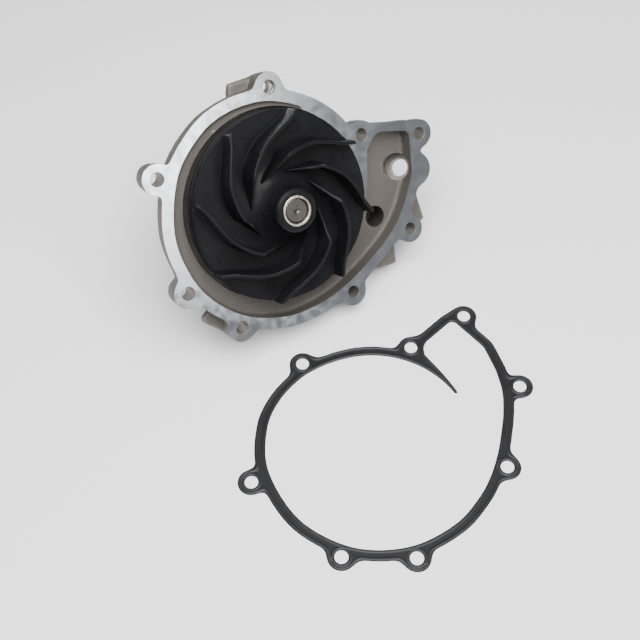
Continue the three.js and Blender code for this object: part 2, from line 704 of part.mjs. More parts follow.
function bladePlan() {
  const line = new THREE.SplineCurve(BLADE_LINE.map(([share, sweep]) => polar(fromHub(share), BLADE_CLOCKING + sweep)));
  const steps = 18;
  const sides = [[], []];
  for (let i = 0; i <= steps; i += 1) {
    const t = i / steps;
    const point = line.getPoint(t);
    const along = line.getTangent(t);
    const half = (BLADE_THICKNESS / 2) * (1 - Math.max(0, t - BLADE_TAPER_START) * BLADE_TAPER);
    sides[0].push(new THREE.Vector2(point.x - along.y * half, point.y + along.x * half));
    sides[1].unshift(new THREE.Vector2(point.x + along.y * half, point.y - along.x * half));
  }
  return sides.flat();
}

// The blades' free edges lie on one surface of revolution: level at the tip, rising to the kink,
// then falling along the leading edges to the hub
function bladeEnvelope() {
  const foot = DISC_FRONT - 1;
  const rim = IMPELLER_RADIUS + 3;
  return turned([
    [HUB_RADIUS - 2, foot], [rim, foot], [rim, DISC_FRONT + TIP_HEIGHT],
    [fromHub(KINK_SHARE), DISC_FRONT + KINK_HEIGHT], [fromHub(EDGE_MIDDLE), DISC_FRONT + 11],
    [fromHub(BLADE_END), DISC_FRONT + 4.7],
    [HUB_RADIUS - 2, DISC_FRONT + 3],
  ]);
}

function impeller() {
  const inside = insertRadius + CLEARANCE;
  const boss = HUB_RADIUS + 1.4;
  let body = turned([
    [inside, impellerBack], [boss, impellerBack], [boss, discBack], [IMPELLER_RADIUS - 6, discBack],
    [IMPELLER_RADIUS - 4, DISC_FRONT - RIM_SKIRT], [IMPELLER_RADIUS, DISC_FRONT - RIM_SKIRT],
    [IMPELLER_RADIUS, DISC_FRONT], [HUB_RADIUS + 21.4, DISC_FRONT], [HUB_RADIUS + 13.4, DISC_FRONT + 1],
    [HUB_RADIUS + 6.4, DISC_FRONT + 4.2], [HUB_RADIUS + 1.9, DISC_FRONT + 9], [HUB_RADIUS, DISC_FRONT + 14],
    [HUB_RADIUS, HUB_FRONT - 1.6],
    [HUB_RADIUS - 1.4, HUB_FRONT - 0.2], [inside, HUB_FRONT - 0.2],
  ]);
  const blade = prism(bladePlan(), discBack + 1, DISC_FRONT + KINK_HEIGHT + 1).intersect(bladeEnvelope());
  for (let i = 0; i < BLADE_COUNT; i += 1) body = body.add(blade.rotate([0, 0, (i * 360) / BLADE_COUNT]));
  return body;
}

// ---------------------------------------------------------------- hub and pulley

function driveHub() {
  const inside = SHAFT_RADIUS + CLEARANCE;
  const low = PULLEY_REAR + PULLEY_WEB + CLEARANCE;
  const boss = hubFlangeFront + (snoutRear - CLEARANCE * 4 - hubFlangeFront) * 0.6;
  let body = turned([
    [inside, low], [HUB_FLANGE_RADIUS, low], [HUB_FLANGE_RADIUS, hubFlangeFront],
    [HUB_BOSS_RADIUS, hubFlangeFront], [HUB_BOSS_RADIUS, boss], [inside, boss],
  ], 32);
  for (let i = 0; i < PULLEY_BOLT_COUNT; i += 1) body = body.subtract(boltDrill(i, PULLEY_BOLT_RADIUS + CLEARANCE));
  return body;
}

const boltPlace = (number) => polar(PULLEY_BOLT_CIRCLE, (number * 360) / PULLEY_BOLT_COUNT + 45);
function boltDrill(number, radius) {
  const { x, y } = boltPlace(number);
  return cylinder(radius, PULLEY_REAR - 20, hubFlangeFront + 20, x, y, 12);
}

// The rim's grooves are cut by one toothed profile; the web is a disc welded into its rear end
const pulleyInside = PULLEY_RADIUS - GROOVE_DEPTH - PULLEY_WALL;
function pulleyRim() {
  const front = PULLEY_REAR + PULLEY_WIDTH;
  const land = 1.6;
  const pitch = (PULLEY_WIDTH - 2 * land) / GROOVE_COUNT;
  const profile = [[PULLEY_RADIUS, PULLEY_REAR], [PULLEY_RADIUS, PULLEY_REAR + land]];
  for (let i = 0; i < GROOVE_COUNT; i += 1) {
    const start = PULLEY_REAR + land + i * pitch;
    profile.push([PULLEY_RADIUS - GROOVE_DEPTH, start + pitch / 2], [PULLEY_RADIUS, start + pitch]);
  }
  profile.push([PULLEY_RADIUS, front], [pulleyInside, front], [pulleyInside, PULLEY_REAR]);
  return turned(profile, 36);
}
function pulleyWeb() {
  const outer = pulleyInside - CLEARANCE;
  let body = ring(SHAFT_RADIUS + CLEARANCE, outer, PULLEY_REAR, PULLEY_REAR + PULLEY_WEB);
  for (let i = 0; i < PULLEY_BOLT_COUNT; i += 1) body = body.subtract(boltDrill(i, PULLEY_BOLT_RADIUS + CLEARANCE));
  return body;
}

const WASHER_RADIUS = 8;
const WASHER_THICKNESS = 1.6;
const BOLT_HEAD_ACROSS = 13;
const BOLT_HEAD_HEIGHT = 5.3;
const washerTop = PULLEY_REAR - CLEARANCE;
function pulleyWasher(number) {
  const { x, y } = boltPlace(number);
  const plate = cylinder(WASHER_RADIUS, washerTop - WASHER_THICKNESS, washerTop, x, y, 20);
  return plate.subtract(boltDrill(number, PULLEY_BOLT_RADIUS + CLEARANCE));
}
function pulleyBolt(number) {
  const { x, y } = boltPlace(number);
  const seat = washerTop - WASHER_THICKNESS - CLEARANCE;
  const head = hexagon(BOLT_HEAD_ACROSS, seat - BOLT_HEAD_HEIGHT, seat).translate([x, y, 0]);
  return head.add(cylinder(PULLEY_BOLT_RADIUS, seat - 1, hubFlangeFront + 1, x, y, 12));
}

// ---------------------------------------------------------------- gasket

function flangeGasket() {
  let sheet = prism(gasketOutline, 0, GASKET_THICKNESS).subtract(prism(gasketOpening, -1, GASKET_THICKNESS + 1));
  for (const { x, y } of boltCentres) sheet = sheet.subtract(cylinder(BOLT_HOLE_RADIUS, -1, 3, x, y, 16));
  return sheet;
}

// ---------------------------------------------------------------- materials and assembly

const finish = (color, roughness, metalness) => () => new THREE.MeshStandardMaterial({ color, roughness, metalness });
const castAluminium = finish(0xa8a5a0, 0.5, 0.8);
const blackPlastic = finish(0x17181a, 0.4, 0);
const steel = finish(0x8b8984, 0.35, 1);
const brightSteel = finish(0xc9c8c4, 0.25, 1);
const rubber = finish(0x101112, 0.7, 0);
const carbon = finish(0x232427, 0.4, 0.2);
const ceramic = finish(0xd8d3c6, 0.4, 0);
const blackPaint = finish(0x1c1d1f, 0.5, 0.3);
const brass = finish(0xb58b45, 0.4, 1);

const pump = new THREE.Group();
function place(name, manifold, material, group = pump) {
  const mesh = new THREE.Mesh(geometryOf(manifold), material());
  mesh.name = name;
  group.add(mesh);
}

place('pump_housing', pumpHousing(), castAluminium);
place('dowel_sleeve', dowelSleeve(), steel);
place('weep_cap', weepCap(), blackPlastic);
place('bearing_outer_ring', bearingOuterRing(), brightSteel);
place('bearing_seal_front', lipSeal(0), rubber);
place('bearing_seal_rear', lipSeal(1), rubber);
place('retaining_ring', retainingRing(), steel);
place('seal_cup', sealCup(), brass);
place('seal_spring', sealSpring(), brightSteel);
place('seal_bellows', sealBellows(), rubber);
place('seal_carbon_ring', sealCarbonRing(), carbon);
place('seal_mating_ring', sealMatingRing(), ceramic);
place('pump_shaft', pumpShaft(), steel);
place('slinger', slinger(), rubber);
place('impeller_insert', impellerInsert(), brightSteel);
place('impeller', impeller(), blackPlastic);
place('drive_hub', driveHub(), steel);
place('pulley_rim', pulleyRim(), blackPaint);
place('pulley_web', pulleyWeb(), blackPaint);
for (let i = 0; i < PULLEY_BOLT_COUNT; i += 1) {
  place(`pulley_washer_${i + 1}`, pulleyWasher(i), brightSteel);
  place(`pulley_bolt_${i + 1}`, pulleyBolt(i), steel);
}
['front', 'rear'].forEach((side, row) => {
  place(`ball_cage_${side}`, cage(row), brass);
  for (let i = 0; i < BALLS_PER_ROW; i += 1) place(`${side}_ball_${i + 1}`, ball(row, i), brightSteel);
});

// Lay the pump down: turned about its own axis, leaned over, headed round, and lifted onto the rim
const clocked = new THREE.Group();
clocked.rotation.z = rad(CLOCKING);
clocked.add(pump);
const leaned = new THREE.Group();
leaned.rotation.y = rad(LEAN);
leaned.add(clocked);
const headed = new THREE.Group();
headed.rotation.z = rad(HEADING);
headed.position.z = restHeight;
headed.add(leaned);

const gasketPlace = new THREE.Group();
place('flange_gasket', flangeGasket(), rubber, gasketPlace);
gasketPlace.rotation.z = rad(GASKET_TURN);
gasketPlace.position.set(...laid(GASKET_OFFSET, 2), 0);

// The origin is the centre of everything's footprint, on the bench
const model = new THREE.Group();
model.add(headed, gasketPlace);
const box = new THREE.Box3().setFromObject(model, true);
const centre = box.getCenter(new THREE.Vector3());
model.position.set(-centre.x, -centre.y, -box.min.z);

const waterPump = new THREE.Group();
waterPump.add(model);
export default waterPump;
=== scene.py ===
# Coolant pump lying on a bench beside its flange gasket: the surfaces, finishes, light and camera.
# Pump pieces are made in the pump's own frame, in millimetres, with the shaft along +Z and the
# flange face at z = 0, and are then laid on the bench.
import json
import math

import bmesh
import bpy
import numpy as np
from mathutils import Matrix, Vector
from mathutils.geometry import delaunay_2d_cdt


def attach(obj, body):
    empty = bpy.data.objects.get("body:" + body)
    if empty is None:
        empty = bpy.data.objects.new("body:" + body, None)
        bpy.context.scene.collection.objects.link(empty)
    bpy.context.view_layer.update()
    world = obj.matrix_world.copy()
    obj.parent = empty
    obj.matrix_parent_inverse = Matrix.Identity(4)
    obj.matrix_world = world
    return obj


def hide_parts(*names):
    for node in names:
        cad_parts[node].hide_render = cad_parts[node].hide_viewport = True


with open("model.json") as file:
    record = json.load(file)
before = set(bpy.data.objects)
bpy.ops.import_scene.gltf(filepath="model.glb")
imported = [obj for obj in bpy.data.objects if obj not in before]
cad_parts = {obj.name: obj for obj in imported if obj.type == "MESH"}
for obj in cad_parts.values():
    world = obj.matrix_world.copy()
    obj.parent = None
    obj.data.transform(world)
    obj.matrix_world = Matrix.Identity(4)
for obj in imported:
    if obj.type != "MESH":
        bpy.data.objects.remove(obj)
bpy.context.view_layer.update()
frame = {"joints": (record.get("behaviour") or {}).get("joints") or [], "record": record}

# ---------------------------------------------------------------- sizes, in millimetres

BOLTS = [(78.9, 76.7), (121.2, 63.7), (110.3, 29.8), (89.8, -5.1),
         (86.3, -65.6), (84.8, -97.7), (86.6, -151.8), (77.6, 136.5)]
BOLT_HOLE_RADIUS = 4.5
BOSS_RADIUS = 9.1
BAND_WIDTH = 7.4
OUTLINE_FILLET = 7.0
WALL = 5.5
RECESS_RADIUS = 65.4
RECESS_DEPTH = 14.0
VOLUTE_DEPTH = 11.0
NOTCH_ANGLE = 116.0
NOTCH_DEPTH = 1.2
RAMP_END = 75
CUTWATER_RADIUS = 67.4
CUTWATER_START = 40.0
SPIRAL = [(67.6, 119), (68.3, 130), (69.6, 144), (71.2, 162), (72.5, 180), (73.6, 204), (74.6, 232),
          (75.9, 254), (77.2, 274), (77.9, 296), (78.4, 318), (79.0, 335), (80.4, 348), (82.5, 360)]
OUTLET_WALL = [(84.2, 15), (85.1, 33), (83.6, 50), (78.5, 66)]
OUTLET_CORNERS = [(69.3, 84), (45.6, 104.4)]
POCKET_SHOULDER = (25.5, 86)
GASKET_SHOULDER = (26, 80)
TONGUE = [(28.6, 72), (40, 60.5), (48, 51.5), (53.6, 44.4)]
SWELLING = (69.5, 88.5, 11.5)

IMPELLER_RADIUS = 64.4
DISC_FRONT = 8.3
DISC_BACK = 4.3
HUB_FRONT = 30.0
HUB_RADIUS = 14.6
SHAFT_RADIUS = 8.1
INSERT_RADIUS = 10.2
CLEARANCE = 0.3
BLADE_COUNT = 8
BLADE_CLOCKING = -8.4
EJECTOR_CIRCLE = 52.8
EJECTOR_CLOCKING = -11.2
BLADE_LINE = [(64.7, 0.6), (57.3, 6.5), (52, 15), (46, 29.5), (40, 44), (35.7, 56), (31.6, 63),
              (28.2, 71.9), (25.6, 83), (24, 96)]

BEARING_RADIUS = 19.0
BEARING_FRONT = -30.0
BEARING_REAR = -68.0
SNOUT_RADIUS = 25.5
SNOUT_REAR = -71.0
BALL_PITCH = 12.3
BALL_RADIUS = 3.9
BALL_COUNT = 7
BALL_ROW_TURN = 20
PULLEY_RADIUS = 50.0
PULLEY_REAR = -84.0
PULLEY_FRONT = -60.0
PULLEY_BOLT_CIRCLE = 22.0
PULLEY_BOLT_COUNT = 4
PULLEY_BOLT_CLOCKING = 45
GASKET_OFFSET = (63.8, -131.4)
GASKET_TURN = -7.9

# ---------------------------------------------------------------- frames

joints = {j["name"]: j for j in frame["joints"]}
spin = joints["shaft_spin"]
shaft_axis = Vector(spin["axis"]).normalized()
pump_origin = Vector(spin["pos_m"])
flange_mount = next(m for m in frame["record"]["mounts"] if m["name"] == "flange_face")
MOUNT_POINT = (-72.44, 19.41)
FLANGE_MOUNT_ANGLE = math.atan2(MOUNT_POINT[1], MOUNT_POINT[0])
spoke = Vector(flange_mount["pos_m"]) - pump_origin
spoke = (spoke - shaft_axis * spoke.dot(shaft_axis)).normalized()
pump_x = Matrix.Rotation(-FLANGE_MOUNT_ANGLE, 3, shaft_axis) @ spoke
pump_y = shaft_axis.cross(pump_x)
MM = Matrix.Diagonal((0.001, 0.001, 0.001, 1))
PUMP = Matrix((pump_x, pump_y, shaft_axis)).transposed().to_4x4()
PUMP.translation = pump_origin
PUMP = PUMP @ MM
gasket_place = (pump_origin.x + GASKET_OFFSET[0] / 1000, pump_origin.y + GASKET_OFFSET[1] / 1000, 0)
GASKET = Matrix.Translation(gasket_place) @ Matrix.Rotation(math.radians(GASKET_TURN), 4, "Z") @ MM


def polar(radius, degrees):
    return radius * math.cos(math.radians(degrees)), radius * math.sin(math.radians(degrees))


bolt_centres = [polar(r, a) for r, a in BOLTS]

# ---------------------------------------------------------------- outlines and distance fields


def spline(points, steps):
    """Points along a smooth curve through the given ones."""
    p = np.array(points, float)
    out = []
    spans = len(p) - 1
    for i in range(steps + 1):
        t = i / steps * spans
        k = min(int(t), spans - 1)
        u = t - k
        a, b, c, d = p[max(k - 1, 0)], p[k], p[k + 1], p[min(k + 2, spans)]
        v0, v1 = (c - a) / 2, (d - b) / 2
        out.append((2 * b - 2 * c + v0 + v1) * u ** 3 + (-3 * b + 3 * c - 2 * v0 - v1) * u ** 2 + v0 * u + b)
    return np.array(out)


def rounded_corner(corner, before, after, radius, steps=8):
    """A corner of an outline, rounded by a curve that leaves each side at the radius."""
    c = np.array(corner, float)
    sides = [np.array(p, float) - c for p in (before, after)]
    start, end = (c + side / np.linalg.norm(side) * radius for side in sides)
    return [(1 - t) ** 2 * start + 2 * t * (1 - t) * c + t * t * end for t in np.linspace(0, 1, steps + 1)]


def pocket_outline(shoulder):
    """The volute, the outlet pocket and the cutwater's arc as one closed outline."""
    wall = spline([polar(r, a) for r, a in SPIRAL] + OUTLET_WALL, 150)
    crown, peak = OUTLET_CORNERS
    arc = [polar(CUTWATER_RADIUS, a) for a in np.linspace(CUTWATER_START, NOTCH_ANGLE, 48)]
    points = list(wall)
    points += rounded_corner(crown, wall[-1], peak, 3)
    points += rounded_corner(peak, crown, shoulder, 5)
    points += rounded_corner(shoulder, peak, TONGUE[0], 6)
    points += list(spline(TONGUE, 24))
    points += arc
    return np.array([tuple(q) for q in points])


def distance_to(outline, x, y):
    """Signed distance from each point to a closed outline, negative inside."""
    nearest = np.full(x.shape, 1e9)
    inside = np.zeros(x.shape, bool)
    for a, b in zip(np.roll(outline, 1, 0), outline):
        e = b - a
        length = e @ e
        if length < 1e-9:
            continue
        along = np.clip(((x - a[0]) * e[0] + (y - a[1]) * e[1]) / length, 0, 1)
        np.minimum(nearest, (x - a[0] - along * e[0]) ** 2 + (y - a[1] - along * e[1]) ** 2, out=nearest)
        if abs(e[1]) > 1e-12:
            inside ^= ((a[1] > y) != (b[1] > y)) & (x < a[0] + (y - a[1]) / e[1] * e[0])
    nearest = np.sqrt(nearest)
    return np.where(inside, -nearest, nearest)


def join(a, b, fillet):
    """Union of two distances, with a fillet in the corner between them."""
    if fillet <= 0:
        return np.minimum(a, b)
    blend = np.maximum(fillet - np.abs(a - b), 0) / fillet
    return np.minimum(a, b) - blend * blend * fillet / 4


def carve(a, b, fillet):
    """Distance a with solid b taken away, the edge eased by the fillet."""
    return -join(-a, b, fillet)


def slab(plan, z, low, high, edge=1.0):
    """A plan distance run between two heights, with its edges rounded."""
    d = plan + edge
    h = np.abs(z - (low + high) / 2) - (high - low) / 2 + edge
    return np.hypot(np.maximum(d, 0), np.maximum(h, 0)) + np.minimum(np.maximum(d, h), 0) - edge


cavity = pocket_outline(POCKET_SHOULDER)
gasket_opening = pocket_outline(GASKET_SHOULDER)


def band_field(opening_distance, x, y):
    """The flange's outline: a band round the opening, run into the bolt bosses."""
    d = opening_distance - BAND_WIDTH
    for cx, cy in bolt_centres:
        d = join(d, np.hypot(x - cx, y - cy) - BOSS_RADIUS, OUTLINE_FILLET)
    return d


def contours(value, xs, ys, level=0.0):
    """Closed loops of points where a gridded field equals the level."""
    v = value - level
    v = np.where(np.abs(v) < 1e-9, 1e-9, v)
    nx, ny = v.shape
    inside = v < 0
    step = xs[1] - xs[0]

    def cross_x(i, j):
        t = v[i, j] / (v[i, j] - v[i + 1, j])
        return xs[i] + t * step, ys[j]

    def cross_y(i, j):
        t = v[i, j] / (v[i, j] - v[i, j + 1])
        return xs[i], ys[j] + t * step

    links = {}
    corner = [inside[:-1, :-1], inside[1:, :-1], inside[1:, 1:], inside[:-1, 1:]]
    mixed = np.argwhere(~((corner[0] == corner[1]) & (corner[1] == corner[2]) & (corner[2] == corner[3])))
    for i, j in mixed:
        c = [bool(k[i, j]) for k in corner]
        edges = [("x", i, j), ("y", i + 1, j), ("x", i, j + 1), ("y", i, j)]
        leave = [edges[k] for k in range(4) if c[k] and not c[(k + 1) % 4]]
        enter = [edges[k] for k in range(4) if not c[k] and c[(k + 1) % 4]]
        if len(leave) == 1:
            links[leave[0]] = enter[0]
        else:
            order = {e: k for k, e in enumerate(edges)}
            for e in leave:
                links[e] = min(enter, key=lambda q: (order[q] - order[e]) % 4)
    loops = []
    while links:
        key = next(iter(links))
        loop = []
        while key in links:
            kind, i, j = key
            loop.append(cross_x(i, j) if kind == "x" else cross_y(i, j))
            key = links.pop(key)
        loops.append(np.array(loop))
    return loops


# ---------------------------------------------------------------- mesh helpers


def new_object(name, mesh):
    obj = bpy.data.objects.new(name, mesh)
    bpy.context.scene.collection.objects.link(obj)
    return obj


def from_bmesh(name, bm):
    """A new object that holds the mesh under construction."""
    mesh = bpy.data.meshes.new(name)
    bm.to_mesh(mesh)
    bm.free()
    return new_object(name, mesh)


def mesh_object(name, vertices, faces):
    mesh = bpy.data.meshes.new(name)
    mesh.from_pydata([tuple(map(float, v)) for v in vertices], [], [tuple(map(int, f)) for f in faces])
    mesh.update()
    return new_object(name, mesh)


def lathe_points(profile, segments):
    ang = np.linspace(0, 2 * math.pi, segments, endpoint=False)
    p = np.array(profile, float)
    x = p[None, :, 0] * np.cos(ang)[:, None]
    y = p[None, :, 0] * np.sin(ang)[:, None]
    z = np.broadcast_to(p[None, :, 1], x.shape)
    return np.stack([x, y, z], -1).reshape(-1, 3)


def turned(name, profile, segments=128):
    """A closed solid of revolution; the profile runs counter-clockwise in (radius, height)."""
    n = len(profile)
    vertices = lathe_points(profile, segments)
    faces = []
    for s in range(segments):
        t = (s + 1) % segments
        for k in range(n):
            m = (k + 1) % n
            if profile[k][0] < 1e-6 and profile[m][0] < 1e-6:
                continue
            faces.append((s * n + k, t * n + k, t * n + m, s * n + m))
    obj = mesh_object(name, vertices, faces)
    tidy(obj)
    return obj


def tidy(obj, distance=1e-4):
    """Merge doubles and turn the faces outwards."""
    bm = bmesh.new()
    bm.from_mesh(obj.data)
    bmesh.ops.remove_doubles(bm, verts=bm.verts, dist=distance)
    bmesh.ops.dissolve_degenerate(bm, dist=distance, edges=bm.edges)
    bmesh.ops.recalc_face_normals(bm, faces=bm.faces)
    bm.to_mesh(obj.data)
    bm.free()


def chamfered(points, size, which=None):
    """A profile with its corners cut back and rounded by three points each."""
    p = [np.array(q, float) for q in points]
    out = []
    for i, c in enumerate(p):
        if which is not None and i not in which:
            out.append(tuple(c))
            continue
        a, b = p[i - 1], p[(i + 1) % len(p)]
        ra = min(size, np.linalg.norm(a - c) * 0.45)
        rb = min(size, np.linalg.norm(b - c) * 0.45)
        s, e = c + (a - c) / np.linalg.norm(a - c) * ra, c + (b - c) / np.linalg.norm(b - c) * rb
        out += [tuple((1 - t) ** 2 * s + 2 * t * (1 - t) * c + t * t * e) for t in (0, 0.5, 1)]
    return out


def cut(obj, cutters):
    """Take the cutters away from a closed mesh."""
    for cutter in cutters:
        modifier = obj.modifiers.new("cut", "BOOLEAN")
        modifier.operation = "DIFFERENCE"
        modifier.solver = "MANIFOLD"
        modifier.object = cutter
    settle(obj)
    for cutter in cutters:
        bpy.data.objects.remove(cutter)


def settle(obj):
    """Replace a mesh by what its modifiers make of it, and take the modifiers off."""
    depsgraph = bpy.context.evaluated_depsgraph_get()
    mesh = bpy.data.meshes.new_from_object(obj.evaluated_get(depsgraph), depsgraph=depsgraph)
    obj.modifiers.clear()
    old = obj.data
    obj.data = mesh
    bpy.data.meshes.remove(old)


def upright_to(way):
    """The turn that lays +Z along a direction."""
    return Vector((0, 0, 1)).rotation_difference(Vector(way)).to_matrix().to_4x4()


def rod(name, radius, low, high, x=0.0, y=0.0, segments=64, way=None):
    """A plain round cutter; way is its direction if it isn't upright."""
    obj = turned(name, [(0, low), (radius, low), (radius, high), (0, high)], segments)
    turn = Matrix.Identity(4) if way is None else upright_to(way)
    obj.data.transform(Matrix.Translation((x, y, 0)) @ turn)
    return obj


def finish_piece(obj, place, body, nodes, materials, sharp=35.0, choose=None):
    """Smooth the faces, give the finishes, lay the piece in place and hang it on its body."""
    mesh = obj.data
    mesh.materials.clear()
    for m in materials:
        mesh.materials.append(m)
    chosen = choose(mesh) if choose else np.zeros(len(mesh.polygons))
    mesh.polygons.foreach_set("material_index", chosen.astype(np.int32))
    mesh.polygons.foreach_set("use_smooth", np.ones(len(mesh.polygons), bool))
    if sharp:
        mesh.set_sharp_from_angle(angle=math.radians(sharp))
    mesh.transform(place)
    mesh.update()
    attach(obj, body)
    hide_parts(*nodes)


def face_data(mesh):
    n = len(mesh.polygons)
    centre, normal = np.zeros(n * 3), np.zeros(n * 3)
    mesh.polygons.foreach_get("center", centre)
    mesh.polygons.foreach_get("normal", normal)
    return centre.reshape(-1, 3), normal.reshape(-1, 3)


def surface_net(field, origin, step):
    """A closed quad mesh of the zero surface of a gridded distance field."""
    inside = field < 0
    nx, ny, nz = field.shape
    total = np.zeros((nx - 1, ny - 1, nz - 1, 3))
    count = np.zeros((nx - 1, ny - 1, nz - 1))
    for axis in range(3):
        lower = [slice(None)] * 3
        upper = [slice(None)] * 3
        lower[axis], upper[axis] = slice(0, -1), slice(1, None)
        a, b = field[tuple(lower)], field[tuple(upper)]
        crossing = (a < 0) != (b < 0)
        share = np.where(crossing, a / np.where(crossing, a - b, 1), 0)
        others = [k for k in range(3) if k != axis]
        for da in (0, 1):
            for db in (0, 1):
                pick = [slice(None)] * 3
                pick[others[0]] = slice(da, field.shape[others[0]] - 1 + da)
                pick[others[1]] = slice(db, field.shape[others[1]] - 1 + db)
                c, s = crossing[tuple(pick)], share[tuple(pick)]
                count += c
                total[..., axis] += s * c
                total[..., others[0]] += da * c
                total[..., others[1]] += db * c
    used = count > 0
    number = np.full(used.shape, -1, np.int64)
    number[used] = np.arange(used.sum())
    cells = np.argwhere(used)
    vertices = (cells + total[used] / count[used][:, None]) * step + np.array(origin)
    quads = []
    for axis in range(3):
        u, w = (axis + 1) % 3, (axis + 2) % 3
        lower = [slice(1, -1)] * 3
        upper = [slice(1, -1)] * 3
        lower[axis], upper[axis] = slice(0, -1), slice(1, None)
        a, b = inside[tuple(lower)], inside[tuple(upper)]
        for flip in (False, True):
            hits = np.argwhere(a & ~b if not flip else ~a & b)
            base = hits.copy()
            base[:, u] += 1
            base[:, w] += 1
            corner = []
            for du, dw in ((1, 1), (0, 1), (0, 0), (1, 0)):
                q = base.copy()
                q[:, u] -= du
                q[:, w] -= dw
                corner.append(number[q[:, 0], q[:, 1], q[:, 2]])
            quad = np.stack(corner, 1)
            quads.append(quad[:, ::-1] if flip else quad)
    return vertices, np.concatenate(quads)


# ---------------------------------------------------------------- node trees that repeat and follow


class Nodes:
    """A short way to add nodes and links to a tree."""

    def __init__(self, tree):
        self.tree = tree

    def add(self, kind, inputs=None, **settings):
        node = self.tree.nodes.new(kind)
        for k, v in settings.items():
            setattr(node, k, v)
        for k, v in (inputs or {}).items():
            if isinstance(v, bpy.types.NodeSocket):
                self.tree.links.new(v, node.inputs[k])
            else:
                node.inputs[k].default_value = v
        return node

    def math(self, operation, *values):
        return self.add("ShaderNodeMath", dict(enumerate(values)), operation=operation).outputs[0]

    def noise(self, vector, scale, detail=3.0, rough=0.5):
        return self.add("ShaderNodeTexNoise", {"Vector": vector, "Scale": scale, "Detail": detail,
                                               "Roughness": rough}).outputs["Fac"]

    def spread(self, value, low, high, to_low=0.0, to_high=1.0):
        return self.add("ShaderNodeMapRange", {"Value": value, "From Min": low, "From Max": high,
                                               "To Min": to_low, "To Max": to_high}).outputs[0]

    def mix(self, factor, a, b):
        node = self.add("ShaderNodeMix", data_type="RGBA")
        for k, v in ((0, factor), (6, a), (7, b)):
            if isinstance(v, bpy.types.NodeSocket):
                self.tree.links.new(v, node.inputs[k])
            else:
                node.inputs[k].default_value = v if k == 0 else (*v, 1) if len(v) == 3 else v
        return node.outputs[2]


def node_group(name, kind, inputs, outputs):
    """An empty group of nodes, with its inputs, its outputs and the short way to fill it."""
    tree = bpy.data.node_groups.new(name, kind)
    for label, socket, value in inputs:
        s = tree.interface.new_socket(name=label, in_out="INPUT", socket_type=socket)
        if value is not None:
            s.default_value = value
    for label, socket in outputs:
        tree.interface.new_socket(name=label, in_out="OUTPUT", socket_type=socket)
    return Nodes(tree), tree.nodes.new("NodeGroupInput").outputs, tree.nodes.new("NodeGroupOutput").inputs


def end_tree(n, geometry, finish, out):
    """Turn copies into plain mesh and give it its finish."""
    real = n.add("GeometryNodeRealizeInstances", {0: geometry})
    done = n.add("GeometryNodeSetMaterial", {"Geometry": real.outputs[0], "Material": finish})
    n.tree.links.new(done.outputs[0], out)
    return n.tree


def round_array_tree():
    """Copies of a piece spaced evenly round the shaft."""
    n, i, o = node_group("Copies round the shaft", "GeometryNodeTree", [
        ("Piece", "NodeSocketGeometry", None), ("Copies", "NodeSocketInt", 8),
        ("Radius", "NodeSocketFloat", 50.0), ("First Angle", "NodeSocketFloat", 0.0),
        ("Height", "NodeSocketFloat", 0.0), ("Finish", "NodeSocketMaterial", None)],
        [("Piece", "NodeSocketGeometry")])
    share = n.math("DIVIDE", n.add("GeometryNodeInputIndex").outputs[0], i["Copies"])
    angle = n.math("MULTIPLY_ADD", share, 2 * math.pi, i["First Angle"])
    place = n.add("ShaderNodeCombineXYZ", {
        "X": n.math("MULTIPLY", n.math("COSINE", angle), i["Radius"]),
        "Y": n.math("MULTIPLY", n.math("SINE", angle), i["Radius"]), "Z": i["Height"]})
    turn = n.add("ShaderNodeCombineXYZ", {"Z": angle})
    points = n.add("GeometryNodePoints", {"Count": i["Copies"], "Position": place.outputs[0]})
    copies = n.add("GeometryNodeInstanceOnPoints", {
        "Points": points.outputs[0], "Instance": i["Piece"], "Rotation": turn.outputs[0]})
    return end_tree(n, copies.outputs[0], i["Finish"], o[0])


def coil_tree():
    """A wire wound into a spring along Z."""
    n, i, o = node_group("Wound spring", "GeometryNodeTree", [
        ("Blank", "NodeSocketGeometry", None), ("Turns", "NodeSocketFloat", 4.0),
        ("Coil Radius", "NodeSocketFloat", 14.0), ("Length", "NodeSocketFloat", 9.0),
        ("Wire Radius", "NodeSocketFloat", 0.7), ("Finish", "NodeSocketMaterial", None)],
        [("Spring", "NodeSocketGeometry")])
    path = n.add("GeometryNodeCurveSpiral", {
        "Resolution": 48, "Rotations": i["Turns"], "Start Radius": i["Coil Radius"],
        "End Radius": i["Coil Radius"], "Height": i["Length"]})
    section = n.add("GeometryNodeCurvePrimitiveCircle", {"Resolution": 12, "Radius": i["Wire Radius"]})
    sweep = n.add("GeometryNodeCurveToMesh", {
        "Curve": path.outputs[0], "Profile Curve": section.outputs[0], "Fill Caps": True})
    return end_tree(n, sweep.outputs[0], i["Finish"], o[0])


def grow_from(obj, tree, values):
    """Run a node tree on a mesh with the given inputs and keep the plain result."""
    modifier = obj.modifiers.new(tree.name, "NODES")
    modifier.node_group = tree
    for item in tree.interface.items_tree:
        if item.item_type == "SOCKET" and item.in_out == "INPUT" and item.name in values:
            modifier[item.identifier] = values[item.name]
    settle(obj)
    return obj


def arrayed(obj, copies, radius, first_angle, finish, height=0.0):
    """Copies of a piece round the shaft; the first angle is in degrees."""
    values = {"Copies": copies, "Radius": radius, "First Angle": math.radians(first_angle)}
    return grow_from(obj, round_array, values | {"Height": height, "Finish": finish})


def numbered(stem, count):
    return [f"{stem}_{i}" for i in range(1, count + 1)]


round_array = round_array_tree()
wound_spring = coil_tree()

# ---------------------------------------------------------------- shared shading effects


